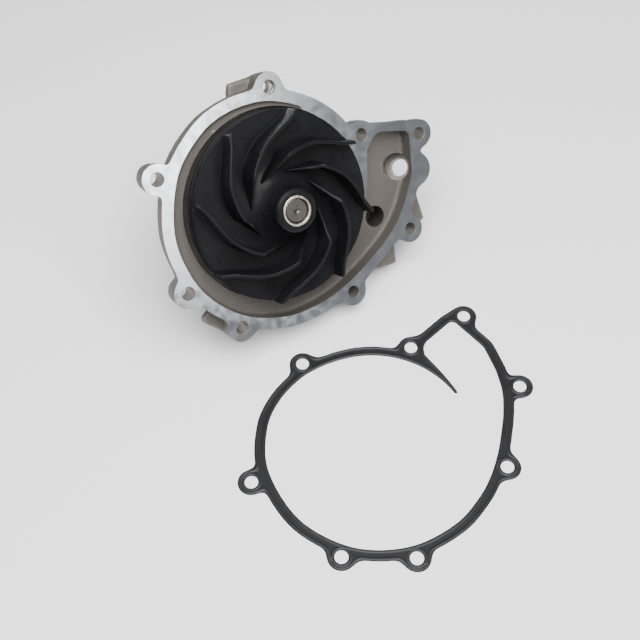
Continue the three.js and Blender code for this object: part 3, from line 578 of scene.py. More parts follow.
def build_speckle():
    """Sandy grain and soft blotches: masks and a height."""
    n, i, o = node_group("Grain and blotches", "ShaderNodeTree", [
        ("Vector", "NodeSocketVector", (0, 0, 0)), ("Grain Size", "NodeSocketFloat", 900.0),
        ("Blotch Size", "NodeSocketFloat", 60.0), ("Pits", "NodeSocketFloat", 0.35)],
        [("Grain", "NodeSocketFloat"), ("Blotches", "NodeSocketFloat"), ("Height", "NodeSocketFloat")])
    grain = n.noise(i["Vector"], i["Grain Size"], 4.0, 0.6)
    blotch = n.noise(i["Vector"], i["Blotch Size"], 3.0, 0.55)
    pit_size = n.math("MULTIPLY", i["Grain Size"], 0.55)
    cells = n.add("ShaderNodeTexVoronoi", {"Vector": i["Vector"], "Scale": pit_size})
    pit = n.math("MULTIPLY", n.spread(cells.outputs["Distance"], 0.0, 0.28, 1.0, 0.0), i["Pits"])
    n.tree.links.new(n.spread(grain, 0.3, 0.7), o["Grain"])
    n.tree.links.new(n.spread(blotch, 0.25, 0.75), o["Blotches"])
    n.tree.links.new(n.math("SUBTRACT", grain, pit), o["Height"])
    return n.tree


def build_wear_and_shade():
    """Edges rubbed bright, and painted shade darkening the corners and hollows, from how sharply the surface
    turns.
    """
    n, i, o = node_group("Edge wear and painted hollow shade", "ShaderNodeTree", [
        ("Vector", "NodeSocketVector", (0, 0, 0)), ("Amount", "NodeSocketFloat", 0.6),
        ("Break Up", "NodeSocketFloat", 300.0)],
        [("Edges", "NodeSocketFloat"), ("Painted Hollow Shade", "NodeSocketFloat")])
    point = n.add("ShaderNodeNewGeometry").outputs["Pointiness"]
    broken = n.spread(n.noise(i["Vector"], i["Break Up"], 3.0), 0.35, 0.65, 0.4, 1.0)
    edges = n.spread(point, 0.52, 0.62)
    # Painted shade: a mask that darkens where the surface folds inward, in corners and hollows
    painted_hollow_shade = n.spread(point, 0.49, 0.42)
    n.tree.links.new(n.math("MULTIPLY", n.math("MULTIPLY", edges, broken), i["Amount"]), o["Edges"])
    n.tree.links.new(n.math("MULTIPLY", n.math("MULTIPLY", painted_hollow_shade, broken), i["Amount"]), o["Painted Hollow Shade"])
    return n.tree


def build_swirl():
    """Fine concentric tool marks about a centre, as a height and a mask."""
    n, i, o = node_group("Tool marks", "ShaderNodeTree", [
        ("Vector", "NodeSocketVector", (0, 0, 0)), ("Spacing", "NodeSocketFloat", 900.0)],
        [("Height", "NodeSocketFloat"), ("Marks", "NodeSocketFloat")])
    rings = n.add("ShaderNodeTexWave", {"Vector": i["Vector"], "Scale": i["Spacing"], "Distortion": 0.6,
                                        "Detail": 2.0}, wave_type="RINGS", rings_direction="SPHERICAL")
    uneven = n.noise(i["Vector"], 140.0, 3.0)
    n.tree.links.new(n.math("MULTIPLY", rings.outputs["Fac"], uneven), o["Height"])
    n.tree.links.new(n.spread(uneven, 0.35, 0.65), o["Marks"])
    return n.tree


speckle, wear_and_shade, swirl = build_speckle(), build_wear_and_shade(), build_swirl()


class Finish:
    """A material under construction: one Principled shader fed by the shared effects."""

    def __init__(self, name):
        self.material = bpy.data.materials.new(name)
        self.material.use_nodes = True
        tree = self.material.node_tree
        self.n = Nodes(tree)
        self.shader = tree.nodes["Principled BSDF"]
        self.where = self.n.add("ShaderNodeTexCoord").outputs["Object"]

    def effect(self, group, **values):
        node = self.n.add("ShaderNodeGroup", node_tree=group)
        self.n.tree.links.new(self.where, node.inputs["Vector"])
        for k, v in values.items():
            node.inputs[k.replace("_", " ")].default_value = v
        return node.outputs

    def set(self, **values):
        for k, v in values.items():
            socket = self.shader.inputs[k.replace("_", " ")]
            if isinstance(v, bpy.types.NodeSocket):
                self.n.tree.links.new(v, socket)
            else:
                socket.default_value = v
        return self

    def bump(self, height, distance, strength=1.0, under=None):
        b = self.n.add("ShaderNodeBump", {"Height": height, "Distance": distance, "Strength": strength})
        if under is not None:
            self.n.tree.links.new(under, b.inputs["Normal"])
        return b.outputs[0]


def cast_aluminium(name, light, dark, metallic=0.2):
    f = Finish(name)
    s = f.effect(speckle, Grain_Size=1500.0, Blotch_Size=45.0, Pits=0.3)
    w = f.effect(wear_and_shade, Amount=0.7, Break_Up=260.0)
    base = f.n.mix(s["Grain"], dark, light)
    base = f.n.mix(f.n.math("MULTIPLY", s["Blotches"], 0.35), base, tuple(c * 0.8 for c in light))
    # Painted shade: darker colour in corners and hollows, where shade falls
    base = f.n.mix(w["Painted Hollow Shade"], base, tuple(c * 0.55 for c in dark))
    base = f.n.mix(w["Edges"], base, (0.46, 0.45, 0.43))
    rough = f.n.spread(s["Grain"], 0, 1, 0.62, 0.48)
    normal = f.bump(s["Height"], 0.00025)
    return f.set(Base_Color=base, Roughness=rough, Metallic=metallic, Normal=normal).material


def milled_aluminium(name, colour, stain, rough, metallic=1.0, centre=(0.0, 0.0, 0.0)):
    f = Finish(name)
    shifted = f.n.add("ShaderNodeMapping", {"Vector": f.where, "Location": centre}).outputs[0]
    marks = f.n.add("ShaderNodeGroup", {"Vector": shifted, "Spacing": 700.0}, node_tree=swirl).outputs
    s = f.effect(speckle, Grain_Size=2200.0, Blotch_Size=55.0, Pits=0.12)
    base = f.n.mix(s["Blotches"], colour, stain)
    base = f.n.mix(f.n.math("MULTIPLY", s["Grain"], 0.15), base, tuple(c * 0.6 for c in stain))
    roughness = f.n.math("ADD", f.n.spread(s["Blotches"], 0, 1, rough * 0.9, rough * 1.25),
                         f.n.math("MULTIPLY", marks["Marks"], 0.08))
    normal = f.bump(marks["Height"], 0.00003, 0.6)
    normal = f.bump(s["Height"], 0.00004, 0.5, normal)
    return f.set(Base_Color=base, Roughness=roughness, Metallic=metallic, Normal=normal).material


def moulded_plastic(name, colour, haze, rough, coat=0.0, shine=0.25):
    f = Finish(name)
    s = f.effect(speckle, Grain_Size=1800.0, Blotch_Size=70.0, Pits=0.0)
    w = f.effect(wear_and_shade, Amount=0.35, Break_Up=400.0)
    base = f.n.mix(s["Blotches"], colour, haze)
    base = f.n.mix(w["Edges"], base, tuple(c * 1.6 for c in haze))
    roughness = f.n.math("ADD", f.n.spread(s["Blotches"], 0, 1, rough, rough * 1.25),
                         f.n.math("MULTIPLY", s["Grain"], 0.06))
    normal = f.bump(s["Height"], 0.00004)
    return f.set(Base_Color=base, Roughness=roughness, Specular_IOR_Level=shine,
                 Coat_Weight=coat, Coat_Roughness=0.3, Normal=normal).material


def metal(name, colour, dark, rough, tool_marks=900.0, metallic=1.0):
    f = Finish(name)
    marks = f.effect(swirl, Spacing=tool_marks)
    s = f.effect(speckle, Grain_Size=2600.0, Blotch_Size=90.0, Pits=0.1)
    w = f.effect(wear_and_shade, Amount=0.5, Break_Up=500.0)
    base = f.n.mix(s["Blotches"], colour, dark)
    # Painted shade: darker colour in corners and hollows, where shade falls
    base = f.n.mix(w["Painted Hollow Shade"], base, tuple(c * 0.5 for c in dark))
    roughness = f.n.spread(marks["Marks"], 0, 1, rough * 0.8, rough * 1.25)
    return f.set(Base_Color=base, Roughness=roughness, Metallic=metallic,
                 Normal=f.bump(marks["Height"], 0.00003, 0.7)).material


CAST = cast_aluminium("cast aluminium", (0.110, 0.099, 0.088), (0.052, 0.045, 0.038))
MILLED = milled_aluminium("milled flange face", (0.80, 0.82, 0.85), (0.67, 0.695, 0.735), 0.105)
BORED = milled_aluminium("bored recess", (0.22, 0.20, 0.182), (0.12, 0.108, 0.097), 0.4, 0.6)
REAMED = milled_aluminium("reamed port", (0.16, 0.145, 0.13), (0.085, 0.076, 0.067), 0.4, 0.5)
# Painted shade: a much darker copy of the cast finish for the deep bypass bore, standing in for the shade
# inside it
PAINTED_SHADE_BORE = cast_aluminium("bypass bore in painted shade", (0.05, 0.045, 0.04), (0.024, 0.021, 0.018))
DRILLED = milled_aluminium("drilled hole", (0.27, 0.25, 0.23), (0.15, 0.138, 0.125), 0.4, 0.6)
PLASTIC = moulded_plastic("black moulded plastic", (0.0045, 0.0045, 0.005), (0.0085, 0.0085, 0.0095), 0.3,
                          shine=0.11)
CAP_PLASTIC = moulded_plastic("black cap plastic", (0.014, 0.014, 0.015), (0.024, 0.024, 0.025), 0.42)
STEEL = metal("turned steel", (0.30, 0.28, 0.255), (0.19, 0.175, 0.16), 0.38)
SHAFT_STEEL = metal("turned shaft steel", (0.135, 0.125, 0.115), (0.085, 0.078, 0.07), 0.42)
BRIGHT = metal("bright insert steel", (0.74, 0.68, 0.60), (0.52, 0.46, 0.39), 0.3)
GROUND = metal("ground bearing steel", (0.72, 0.71, 0.69), (0.55, 0.54, 0.52), 0.16, 1800.0)
BRASS = metal("drawn brass", (0.72, 0.55, 0.27), (0.52, 0.38, 0.18), 0.30)
ZINC = metal("zinc plated steel", (0.62, 0.62, 0.58), (0.44, 0.43, 0.38), 0.34)
PAINT = moulded_plastic("black electrocoat", (0.016, 0.016, 0.018), (0.026, 0.026, 0.028), 0.36, 0.3)
RUBBER = moulded_plastic("seal rubber", (0.016, 0.016, 0.017), (0.028, 0.028, 0.029), 0.62)
COATED = moulded_plastic("rubber coated steel sheet", (0.007, 0.007, 0.008), (0.013, 0.013, 0.0145), 0.5,
                         shine=0.18)
BEAD = moulded_plastic("moulded sealing bead", (0.008, 0.008, 0.009), (0.015, 0.015, 0.0165), 0.34, shine=0.3)
CARBON = moulded_plastic("lapped carbon", (0.030, 0.030, 0.033), (0.05, 0.05, 0.055), 0.3)
CERAMIC = moulded_plastic("seal ceramic", (0.62, 0.59, 0.52), (0.54, 0.51, 0.45), 0.3, 0.2)

# ---------------------------------------------------------------- housing

CAST_STEP = 1.15
PORT_MOUTH = Vector((61, 83, -VOLUTE_DEPTH))
PORT_WAY = Vector((0.573, 0.327, -0.751)).normalized()
PORT_RADIUS = 9.6
PORT_THROAT = 6.6
PORT_START, PORT_STEP, PORT_END = -18, 12, 60
PORT_WALL = 3
PORT_WALL_MIDDLE, PORT_WALL_HALF = 9.5, 5.5
BYPASS = (72.0, 45.5, 7.7)
WEEP_ANGLE = -55.0
WEEP_WAY = (*polar(1, WEEP_ANGLE), 0)
WEEP_HEIGHT = -28.0
WEEP_RADIUS = 3.0
WEEP_BOSS_START = 20.0
WEEP_BOSS_END = 50.0
RIB_COUNT = 6
RIB_CLOCKING = 25
CLEAR_OF_RAMP = -6.0
LUG_CORNER = (110.4, 32.0)
LUGS = [
    ([(80, 70), (72, 90), (88, 80), (106.5, 71), (105.5, 68), (96, 58)], -18.0),
    ([(84, 20), (99, 17), LUG_CORNER, (99, 41), (84, 44)], None),
    ([(12.5, -72), (12.8, -90), (16, -91.8), (38, -86.5), (36, -72)], -16.0),
    ([(-60, 30), (-71, 33), (-75, 38.5), (-65, 55), (-50, 48)], -16.0),
]
BRACKET_SIZE = 10.0
BRACKET = polar(80.4 - BRACKET_SIZE / 2, -34.9)
SNOUT_PROFILE = [(0, -19), (46, -19), (46, -23), (31.5, -28), (SNOUT_RADIUS, -36), (SNOUT_RADIUS, SNOUT_REAR),
                 (0, SNOUT_REAR)]
RIB_PROFILE = [(22.5, -19), (67, -19), (67, -23), (24.5, -56), (22.5, -56)]


def bench_reach(x, y, radius):
    """The height in the pump's frame at which a post behind (x, y) touches the bench."""
    fall = radius * math.hypot(pump_x.z, pump_y.z)
    return -(pump_origin.z * 1000 + pump_x.z * x + pump_y.z * y - fall) / shaft_axis.z


def both(a, b, edge):
    """Intersection of two distances with a rounded edge."""
    a, b = a + edge, b + edge
    return np.hypot(np.maximum(a, 0), np.maximum(b, 0)) + np.minimum(np.maximum(a, b), 0) - edge


def cast_body():
    """The casting before machining: every wall, boss, rib and lug run together with fillets."""
    xs, ys = np.arange(-92, 116, CAST_STEP), np.arange(-99, 124, CAST_STEP)
    zs = np.arange(-75, 6, CAST_STEP)
    x2, y2 = np.meshgrid(xs, ys, indexing="ij")
    opening = distance_to(gasket_opening, x2, y2)
    pocket = distance_to(cavity, x2, y2)
    rim = join(band_field(opening, x2, y2), np.hypot(x2 - SWELLING[0], y2 - SWELLING[1]) - SWELLING[2],
               OUTLINE_FILLET / 2)
    x, y, z = x2[..., None], y2[..., None], zs[None, None, :]
    radius = np.hypot(x, y)
    top = 8.0
    d = slab(rim[..., None] - 0.02 * (z + 8), z, -8, top, 1.2)
    for cx, cy in bolt_centres:
        d = join(d, slab(np.hypot(x - cx, y - cy) - BOSS_RADIUS, z, -15, top, 1.2), 3.0)
    d = join(d, slab(pocket[..., None] - WALL, z, -17, top, 2.2), 3.5)
    d = join(d, slab(radius - (RECESS_RADIUS + WALL), z, -20, top, 2.5), 4.0)
    r3, z3 = np.broadcast_arrays(radius, z)
    d = join(d, distance_to(np.array(SNOUT_PROFILE, float), r3, z3), 5.0)
    for k in range(RIB_COUNT):
        a = math.radians(360 / RIB_COUNT * k + RIB_CLOCKING)
        along = x * math.cos(a) + y * math.sin(a)
        across = np.abs(y * math.cos(a) - x * math.sin(a)) - 2.5
        u3, w3 = np.broadcast_arrays(along, z)
        d = join(d, both(distance_to(np.array(RIB_PROFILE, float), u3, w3), across, 1.0), 3.0)
    for outline, back in LUGS:
        low = bench_reach(*LUG_CORNER, 0) if back is None else back
        plan = distance_to(np.array(outline, float), x2, y2)[..., None]
        d = join(d, slab(plan, z, low, -10.0, 1.0 if back is None else 1.4), 2.5)
    posts = [((*BRACKET, BRACKET_SIZE), bench_reach(*BRACKET, BRACKET_SIZE), -4.0, 0.5, 4.0),
             ((*SWELLING[:2], SWELLING[2] + 1), -36, -1, 1.5, 3.0),
             ((*BYPASS[:2], BYPASS[2] + 4), -34, -9, 1.5, 3.0)]
    for (cx, cy, size), low, high, edge, fillet in posts:
        d = join(d, slab(np.hypot(x - cx, y - cy) - size, z, low, high, edge), fillet)
    mouth = [x - PORT_MOUTH[0], y - PORT_MOUTH[1], z - PORT_MOUTH[2]]
    along = sum(m * w for m, w in zip(mouth, PORT_WAY))
    off = np.sqrt(sum((m - along * w) ** 2 for m, w in zip(mouth, PORT_WAY)))
    wall = both(off - PORT_RADIUS - PORT_WALL, np.abs(along - PORT_WALL_MIDDLE) - PORT_WALL_HALF, 1.2)
    d = join(d, wall, 3.0)
    a = math.radians(WEEP_ANGLE)
    along = x * math.cos(a) + y * math.sin(a)
    round_boss = np.hypot(y * math.cos(a) - x * math.sin(a), z - WEEP_HEIGHT) - 6
    middle = (WEEP_BOSS_START + WEEP_BOSS_END) / 2
    d = join(d, both(round_boss, np.abs(along - middle) - (WEEP_BOSS_END - middle), 0.8), 3.0)
    angle = np.degrees(np.arctan2(y2, x2)) % 360
    angle = np.where(angle < NOTCH_ANGLE, angle + 360, angle)
    depth = np.interp(np.minimum(angle, 360), [NOTCH_ANGLE, 360], [NOTCH_DEPTH, VOLUTE_DEPTH])
    depth = np.where(angle > 360 + RAMP_END, CLEAR_OF_RAMP, depth)
    hollow = both(pocket[..., None] - 0.03 * z, -(z + depth[..., None]), 2.4)
    d = carve(d, hollow, 0.0)
    d = np.maximum(d, z - 3.0)
    vertices, quads = surface_net(d, (xs[0], ys[0], zs[0]), CAST_STEP)
    return mesh_object("housing", vertices, quads)


def block(name, low, high):
    bm = bmesh.new()
    bmesh.ops.create_cube(bm, size=1.0)
    obj = from_bmesh(name, bm)
    low, high = Vector(low), Vector(high)
    obj.data.transform(Matrix.Translation((low + high) / 2) @ Matrix.Diagonal((*(high - low), 1)))
    return obj


def make_housing():
    obj = cast_body()
    tidy(obj, 1e-5)
    tools = [block("face mill", (-140, -140, 0), (140, 140, 12))]
    recess = [(0, -RECESS_DEPTH), (RECESS_RADIUS, -RECESS_DEPTH), (RECESS_RADIUS, 5), (0, 5)]
    tools.append(turned("recess tool", chamfered(recess, 0.5, (1,)), 192))
    for cx, cy in bolt_centres:
        tools.append(rod("bolt drill", BOLT_HOLE_RADIUS, -46, 5, cx, cy, 48))
        ease = [(0, -0.35), (BOLT_HOLE_RADIUS, -0.35), (BOLT_HOLE_RADIUS + 1.2, 0.85), (0, 0.85)]
        tools.append(turned("bolt countersink", ease, 48))
        tools[-1].data.transform(Matrix.Translation((cx, cy, 0)))
    tools.append(rod("sleeve counterbore", 5.3, -9, -2, *bolt_centres[7], 48))
    tools.append(rod("seal bore", 17.8, -26, 5, segments=96))
    tools.append(rod("throat bore", 16, -31, -20, segments=96))
    tools.append(rod("bearing bore", 19.3, -80, BEARING_FRONT, segments=96))
    tools.append(turned("ring groove tool", [(0, -70.1), (21, -70.1), (21, -68.3), (0, -68.3)], 96))
    for radius, start, end in ((PORT_RADIUS, PORT_START, PORT_STEP), (PORT_THROAT, 0, PORT_END)):
        tool = rod("port drill", radius, start, end, segments=64, way=PORT_WAY)
        tool.data.transform(Matrix.Translation(PORT_MOUTH))
        tools.append(tool)
    tools.append(rod("bypass drill", BYPASS[2], -30, -10, BYPASS[0], BYPASS[1], 64))
    low = bench_reach(*BRACKET, BRACKET_SIZE)
    tools.append(rod("bracket drill", 3.4, low - 2, low + 16, *BRACKET, 32))
    weep = rod("weep drill", WEEP_RADIUS, 14, 52, segments=32, way=WEEP_WAY)
    weep.data.transform(Matrix.Translation((0, 0, WEEP_HEIGHT)))
    tools.append(weep)
    tools.append(block("rear face mill", (-40, -40, -90), (40, 40, SNOUT_REAR + 0.2)))
    cut(obj, tools)

    def by_surface(mesh):
        """Each face's finish: 0 as cast, 1 milled, 2 bored, 3 drilled, 4 blind bypass bore in painted shade,
        5 reamed.
        """
        c, n = face_data(mesh)
        r = np.hypot(c[:, 0], c[:, 1])
        out = np.zeros(len(c), int)
        upright = np.abs(n[:, 2]) < 0.3
        out[(np.abs(c[:, 2]) < 0.02) & (n[:, 2] > 0.9)] = 1
        on_side = (np.abs(r - RECESS_RADIUS) < 0.6) & (c[:, 2] > -RECESS_DEPTH - 0.1) & (c[:, 2] < -0.02)
        out[on_side & upright & (n[:, 0] * c[:, 0] + n[:, 1] * c[:, 1] < 0)] = 2
        out[(np.abs(c[:, 2] + RECESS_DEPTH) < 0.05) & (r < RECESS_RADIUS)] = 2
        out[(r < 19.5) & (c[:, 2] < -14.1)] = 2
        out[(np.abs(c[:, 2] - SNOUT_REAR - 0.2) < 0.05) & (r < 27)] = 2
        for cx, cy in bolt_centres:
            dx, dy = c[:, 0] - cx, c[:, 1] - cy
            drilled = (np.abs(np.hypot(dx, dy) - BOLT_HOLE_RADIUS) < 1.0) & (n[:, 0] * dx + n[:, 1] * dy < 0)
            out[drilled & (np.abs(n[:, 2]) < 0.7) & (c[:, 2] < -0.01)] = 3
        q = c - np.array(PORT_MOUTH)
        s = q @ np.array(PORT_WAY)
        off = np.linalg.norm(q - s[:, None] * np.array(PORT_WAY), axis=1)
        out[(np.abs(off - PORT_THROAT) < 0.3) & (s > PORT_STEP - 0.2)] = 3
        out[(np.abs(off - PORT_RADIUS) < 0.35) & (s > PORT_START - 1) & (s < PORT_STEP + 0.1)] = 5
        out[(np.abs(s - PORT_STEP) < 0.1) & (off < PORT_RADIUS + 0.2)] = 5
        # The bypass bore's walls below the volute get the painted-shade finish
        in_bypass = np.hypot(c[:, 0] - BYPASS[0], c[:, 1] - BYPASS[1]) < BYPASS[2] + 0.1
        out[in_bypass & (c[:, 2] < -VOLUTE_DEPTH - 0.1)] = 4
        return out

    finishes = [CAST, MILLED, BORED, DRILLED, PAINTED_SHADE_BORE, REAMED]
    finish_piece(obj, PUMP, "housing", ["pump_housing"], finishes, 32, by_surface)


make_housing()

# ---------------------------------------------------------------- impeller


FLARE = [(36, DISC_FRONT), (28, 9.3), (21, 12.5), (16.5, 17.3), (HUB_RADIUS, 22.3)]


def disc_height(r):
    """How high the impeller's disc and cone stand at a radius."""
    flare = spline(FLARE, 60)
    return np.interp(r, flare[::-1, 0], flare[::-1, 1])


def envelope_height(r):
    """How high the blades' free edges stand at a radius."""
    return np.interp(r, [12.6, 24, 28.1, 35.5, 67.4], [11.3, 13.0, 19.3, 25.8, 18.8])


def blade_mesh():
    """One swept blade: filleted foot, rounded free edge, thinner towards the hub."""
    steps = 90
    line = spline([polar(r, BLADE_CLOCKING + a) for r, a in BLADE_LINE], steps)
    tangent = np.gradient(line, axis=0)
    tangent /= np.linalg.norm(tangent, axis=1)[:, None]
    across = np.stack([-tangent[:, 1], tangent[:, 0]], 1)
    rows = []
    for i in range(steps + 1):
        t = i / steps
        half = 1.25 * (1 - max(0.0, t - 5 / 9) * 1.9)
        r = np.hypot(*line[i])
        foot, edge = float(disc_height(r)), float(envelope_height(r))
        e = min(0.55, 0.6 * half)
        f = min(1.0, (edge - foot) / 5) * (1 if t < 0.5 else 1.5 - t)
        right = [(half + 1.9 * f, foot - 0.7), (half + 0.9 * f, foot + 0.1 * f),
                 (half + 0.4 * f, foot + 0.7 * f), (half + 0.1 * f, foot + 1.7 * f),
                 (half, edge - e * 1.2), (half - e * 0.3, edge - e * 0.35), (half - e, edge)]
        section = [(-s, h) for s, h in right] + right[::-1]
        row = []
        for s, h in section:
            x, y = line[i] + across[i] * s
            reach = math.hypot(x, y)
            if reach > IMPELLER_RADIUS:
                x, y = x * IMPELLER_RADIUS / reach, y * IMPELLER_RADIUS / reach
            row.append((x, y, h))
        rows.append(row)
    n = len(rows[0])
    vertices = [v for row in rows for v in row]
    faces = [(i * n + k, i * n + k + 1, (i + 1) * n + k + 1, (i + 1) * n + k)
             for i in range(steps) for k in range(n - 1)]
    faces += [(i * n + n - 1, i * n, (i + 1) * n, (i + 1) * n + n - 1) for i in range(steps)]
    faces.append(tuple(range(n)))
    faces.append(tuple(steps * n + k for k in reversed(range(n))))
    return vertices, faces


def merge(name, objects):
    bm = bmesh.new()
    for o in objects:
        bm.from_mesh(o.data)
    for o in objects:
        bpy.data.objects.remove(o)
    return from_bmesh(name, bm)


def make_impeller():
    flare = [tuple(p) for p in spline(FLARE, 24)]
    inside = INSERT_RADIUS + CLEARANCE
    rear = [(inside, -4.7), (16, -4.7), (16, DISC_BACK), (58.4, DISC_BACK), (60.4, 0.9), (60.7, 0.6)]
    rim = [(64.1, 0.6), (IMPELLER_RADIUS, 0.9), (IMPELLER_RADIUS, 4.4), (64.05, 4.6), (64.05, 7.2),
           (63.8, 7.7), (62.9, 7.8), (62.7, DISC_FRONT), (50, DISC_FRONT)]
    top = [(HUB_RADIUS, 24.0), (HUB_RADIUS, 28.2), (14.35, 28.7), (13.6, 29.45), (13.1, 29.7),
           (11.4, 29.8), (11.2, 29.6), (inside, 29.6)]
    disc = turned("impeller disc", rear + rim + flare + top, 192)
    cut(disc, [rod("gate mark", 1.2, z, 26, x, y, 24) for x, y, z in ((-6, 20, 11.6), (-10, -15.5, 13.6))])
    blade = mesh_object("impeller blade", *blade_mesh())
    tidy(blade)
    arrayed(blade, BLADE_COUNT, 0.0, 0.0, PLASTIC)
    pin = turned("ejector mark", [(0, 8.0), (4.5, 8.0), (4.4, 8.62), (4.1, 8.62), (3.9, 8.36), (0, 8.36)], 48)
    arrayed(pin, BLADE_COUNT, EJECTOR_CIRCLE, EJECTOR_CLOCKING, PLASTIC)
    obj = merge("impeller_moulding", [disc, blade, pin])
    finish_piece(obj, PUMP, "rotor", ["impeller"], [PLASTIC], 40)


make_impeller()

# ---------------------------------------------------------------- turned pieces


def piece(name, profile, body, nodes, material, segments=128, corner=0.0, which=None):
    if corner:
        profile = chamfered(profile, corner, which)
    finish_piece(turned(name, profile, segments), PUMP, body, nodes, [material], 30)


def tube(inner, outer, low, high):
    return [(inner, low), (outer, low), (outer, high), (inner, high)]


bore = SHAFT_RADIUS + CLEARANCE
shaft_rear = PULLEY_REAR - 2
piece("shaft", [(0, shaft_rear), (7.3, shaft_rear), (SHAFT_RADIUS, shaft_rear + 0.8), (SHAFT_RADIUS, 28.2),
                (7.3, 29), (2.5, 29), (2.3, 28.8), (1.3, 28.6), (0.7, 28.1), (0.6, 26.5), (0, 26.2)],
      "rotor", ["pump_shaft"], SHAFT_STEEL)
piece("insert_sleeve", tube(bore, INSERT_RADIUS, -4.7, HUB_FRONT),
      "rotor", ["impeller_insert"], BRIGHT, 128, 0.6)
piece("bearing_ring", tube(16.5, BEARING_RADIUS, BEARING_REAR, BEARING_FRONT),
      "housing", ["bearing_outer_ring"], GROUND, 128, 0.8)
for end, low in (("front", BEARING_FRONT - 0.5 - 1.4), ("rear", BEARING_REAR + 0.5)):
    lip = [(bore, low + 0.2), (10.2, low + 0.5), (10.8, low), (16.2, low), (16.2, low + 1.4),
           (12.4, low + 1.4), (12.0, low + 1.1), (10.6, low + 1.1), (bore, low + 0.9)]
    piece("bearing_lip_" + end, lip, "housing", ["bearing_seal_" + end], RUBBER)
for row, (end, height, side) in enumerate((("front", -39.0, -1), ("rear", -59.0, 1))):
    near = height + side * (BALL_RADIUS + CLEARANCE)
    far = near + side * 1.5
    piece("cage_" + end, tube(BALL_PITCH - 1.6, BALL_PITCH + 1.6, min(near, far), max(near, far)),
          end + "_balls", ["ball_cage_" + end], GROUND, 96, 0.4)
    bm = bmesh.new()
    bmesh.ops.create_icosphere(bm, subdivisions=4, radius=BALL_RADIUS)
    balls = from_bmesh("balls_" + end, bm)
    arrayed(balls, BALL_COUNT, BALL_PITCH, BALL_ROW_TURN * row, GROUND, height)
    nodes = numbered(end + "_ball", BALL_COUNT)
    finish_piece(balls, PUMP, end + "_balls", nodes, [GROUND], 0)

cup_rear = -25.7
piece("seal_case", [(9.7, cup_rear), (17.5, cup_rear), (17.5, -13.7), (20.5, -13.7), (20.5, -12.7),
                    (16.5, -12.7), (16.5, cup_rear + 1), (10.7, cup_rear + 1), (10.7, -16.7), (9.7, -16.7)],
      "housing", ["seal_cup"], BRASS, 128, 0.35)
piece("carbon_face", tube(8.9, 13, -12.6, -8.6), "housing", ["seal_carbon_ring"], CARBON, 96, 0.5)
folds = [(12.0 + 0.55 * math.cos(math.pi * k / 3), -24.4 + (11.5 * k) / 24) for k in range(25)]
bellows = [(11.2, -24.4)] + folds + [(11.2, -12.9)]
piece("bellows", bellows, "housing", ["seal_bellows"], RUBBER, 96)
piece("mating_ring", tube(bore, 13.4, -8.3, -5.0), "rotor", ["seal_mating_ring"], CERAMIC, 96, 0.5)
piece("slinger_ring", [(bore, -28.6), (13.0, -28.6), (14.0, -28.3), (14.0, -27.6), (12.6, -27.6),
                       (12.0, -27.9), (bore, -27.9)], "rotor", ["slinger"], STEEL)
spring_low, spring_high = cup_rear + 2.0, -13.6
blank = mesh_object("seal_coil", [(0, 0, 0)], [])
grow_from(blank, wound_spring, {"Turns": 4.0, "Coil Radius": 14.55, "Length": spring_high - spring_low,
                                "Wire Radius": 0.7, "Finish": GROUND})
blank.data.transform(Matrix.Translation((0, 0, spring_low)))
finish_piece(blank, PUMP, "housing", ["seal_spring"], [GROUND], 0)

ring = turned("snap_ring", chamfered(tube(17.7, 20.7, -69.8, -68.6), 0.25), 128)
cut(ring, [block("ring gap", (12, -3.5, -75), (26, 3.5, -60))])
finish_piece(ring, PUMP, "housing", ["retaining_ring"], [STEEL], 30)

sleeve = turned("dowel", chamfered(tube(4.2, 5.0, -8.3, -2.3), 0.3), 64)
sleeve.data.transform(Matrix.Translation((*bolt_centres[7], 0)))
finish_piece(sleeve, PUMP, "housing", ["dowel_sleeve"], [ZINC], 30)

cap = turned("weep_plug", [(1.5, 42.3), (2.7, 42.3), (2.7, 50.3), (4.6, 50.3), (5.0, 50.7), (5.0, 51.7),
                           (4.4, 52.3), (0, 52.6), (0, 50.3), (1.5, 50.3)], 64)
cap.data.transform(Matrix.Translation((0, 0, WEEP_HEIGHT)) @ upright_to(WEEP_WAY))
finish_piece(cap, PUMP, "housing", ["weep_cap"], [CAP_PLASTIC], 30)

# ---------------------------------------------------------------- hub, pulley and its bolts

hub_low, hub_top, boss_top = -79.7, -73.7, -72.6
hub = turned("hub", chamfered([(bore, hub_low), (32, hub_low), (32, hub_top), (15, hub_top), (15, boss_top),
                               (bore, boss_top)], 0.7), 128)


def bolt_drills(low, high):
    angles = [360 / PULLEY_BOLT_COUNT * k + PULLEY_BOLT_CLOCKING for k in range(PULLEY_BOLT_COUNT)]
    return [rod("hub drill", 4.3, low, high, *polar(PULLEY_BOLT_CIRCLE, a), 48) for a in angles]


cut(hub, bolt_drills(-90, -65))
finish_piece(hub, PUMP, "rotor", ["drive_hub"], [ZINC], 30)


def grooved_rim():
    """The rim's outside: six vee grooves with blunted crests and rounded roots."""
    land, count, depth = 1.6, 6, 2.2
    pitch = (PULLEY_FRONT - PULLEY_REAR - 2 * land) / count
    out = [(49.4, PULLEY_REAR), (PULLEY_RADIUS, PULLEY_REAR + 0.6), (PULLEY_RADIUS, PULLEY_REAR + land + 0.1)]
    for k in range(count):
        z = PULLEY_REAR + land + k * pitch
        out += [(PULLEY_RADIUS - depth + 0.15, z + pitch / 2 - 0.35), (PULLEY_RADIUS - depth, z + pitch / 2),
                (PULLEY_RADIUS - depth + 0.15, z + pitch / 2 + 0.35), (PULLEY_RADIUS, z + pitch - 0.25)]
        if k < count - 1:
            out.append((PULLEY_RADIUS, z + pitch + 0.25))
    return out + [(PULLEY_RADIUS, PULLEY_FRONT - 0.6), (49.4, PULLEY_FRONT)]


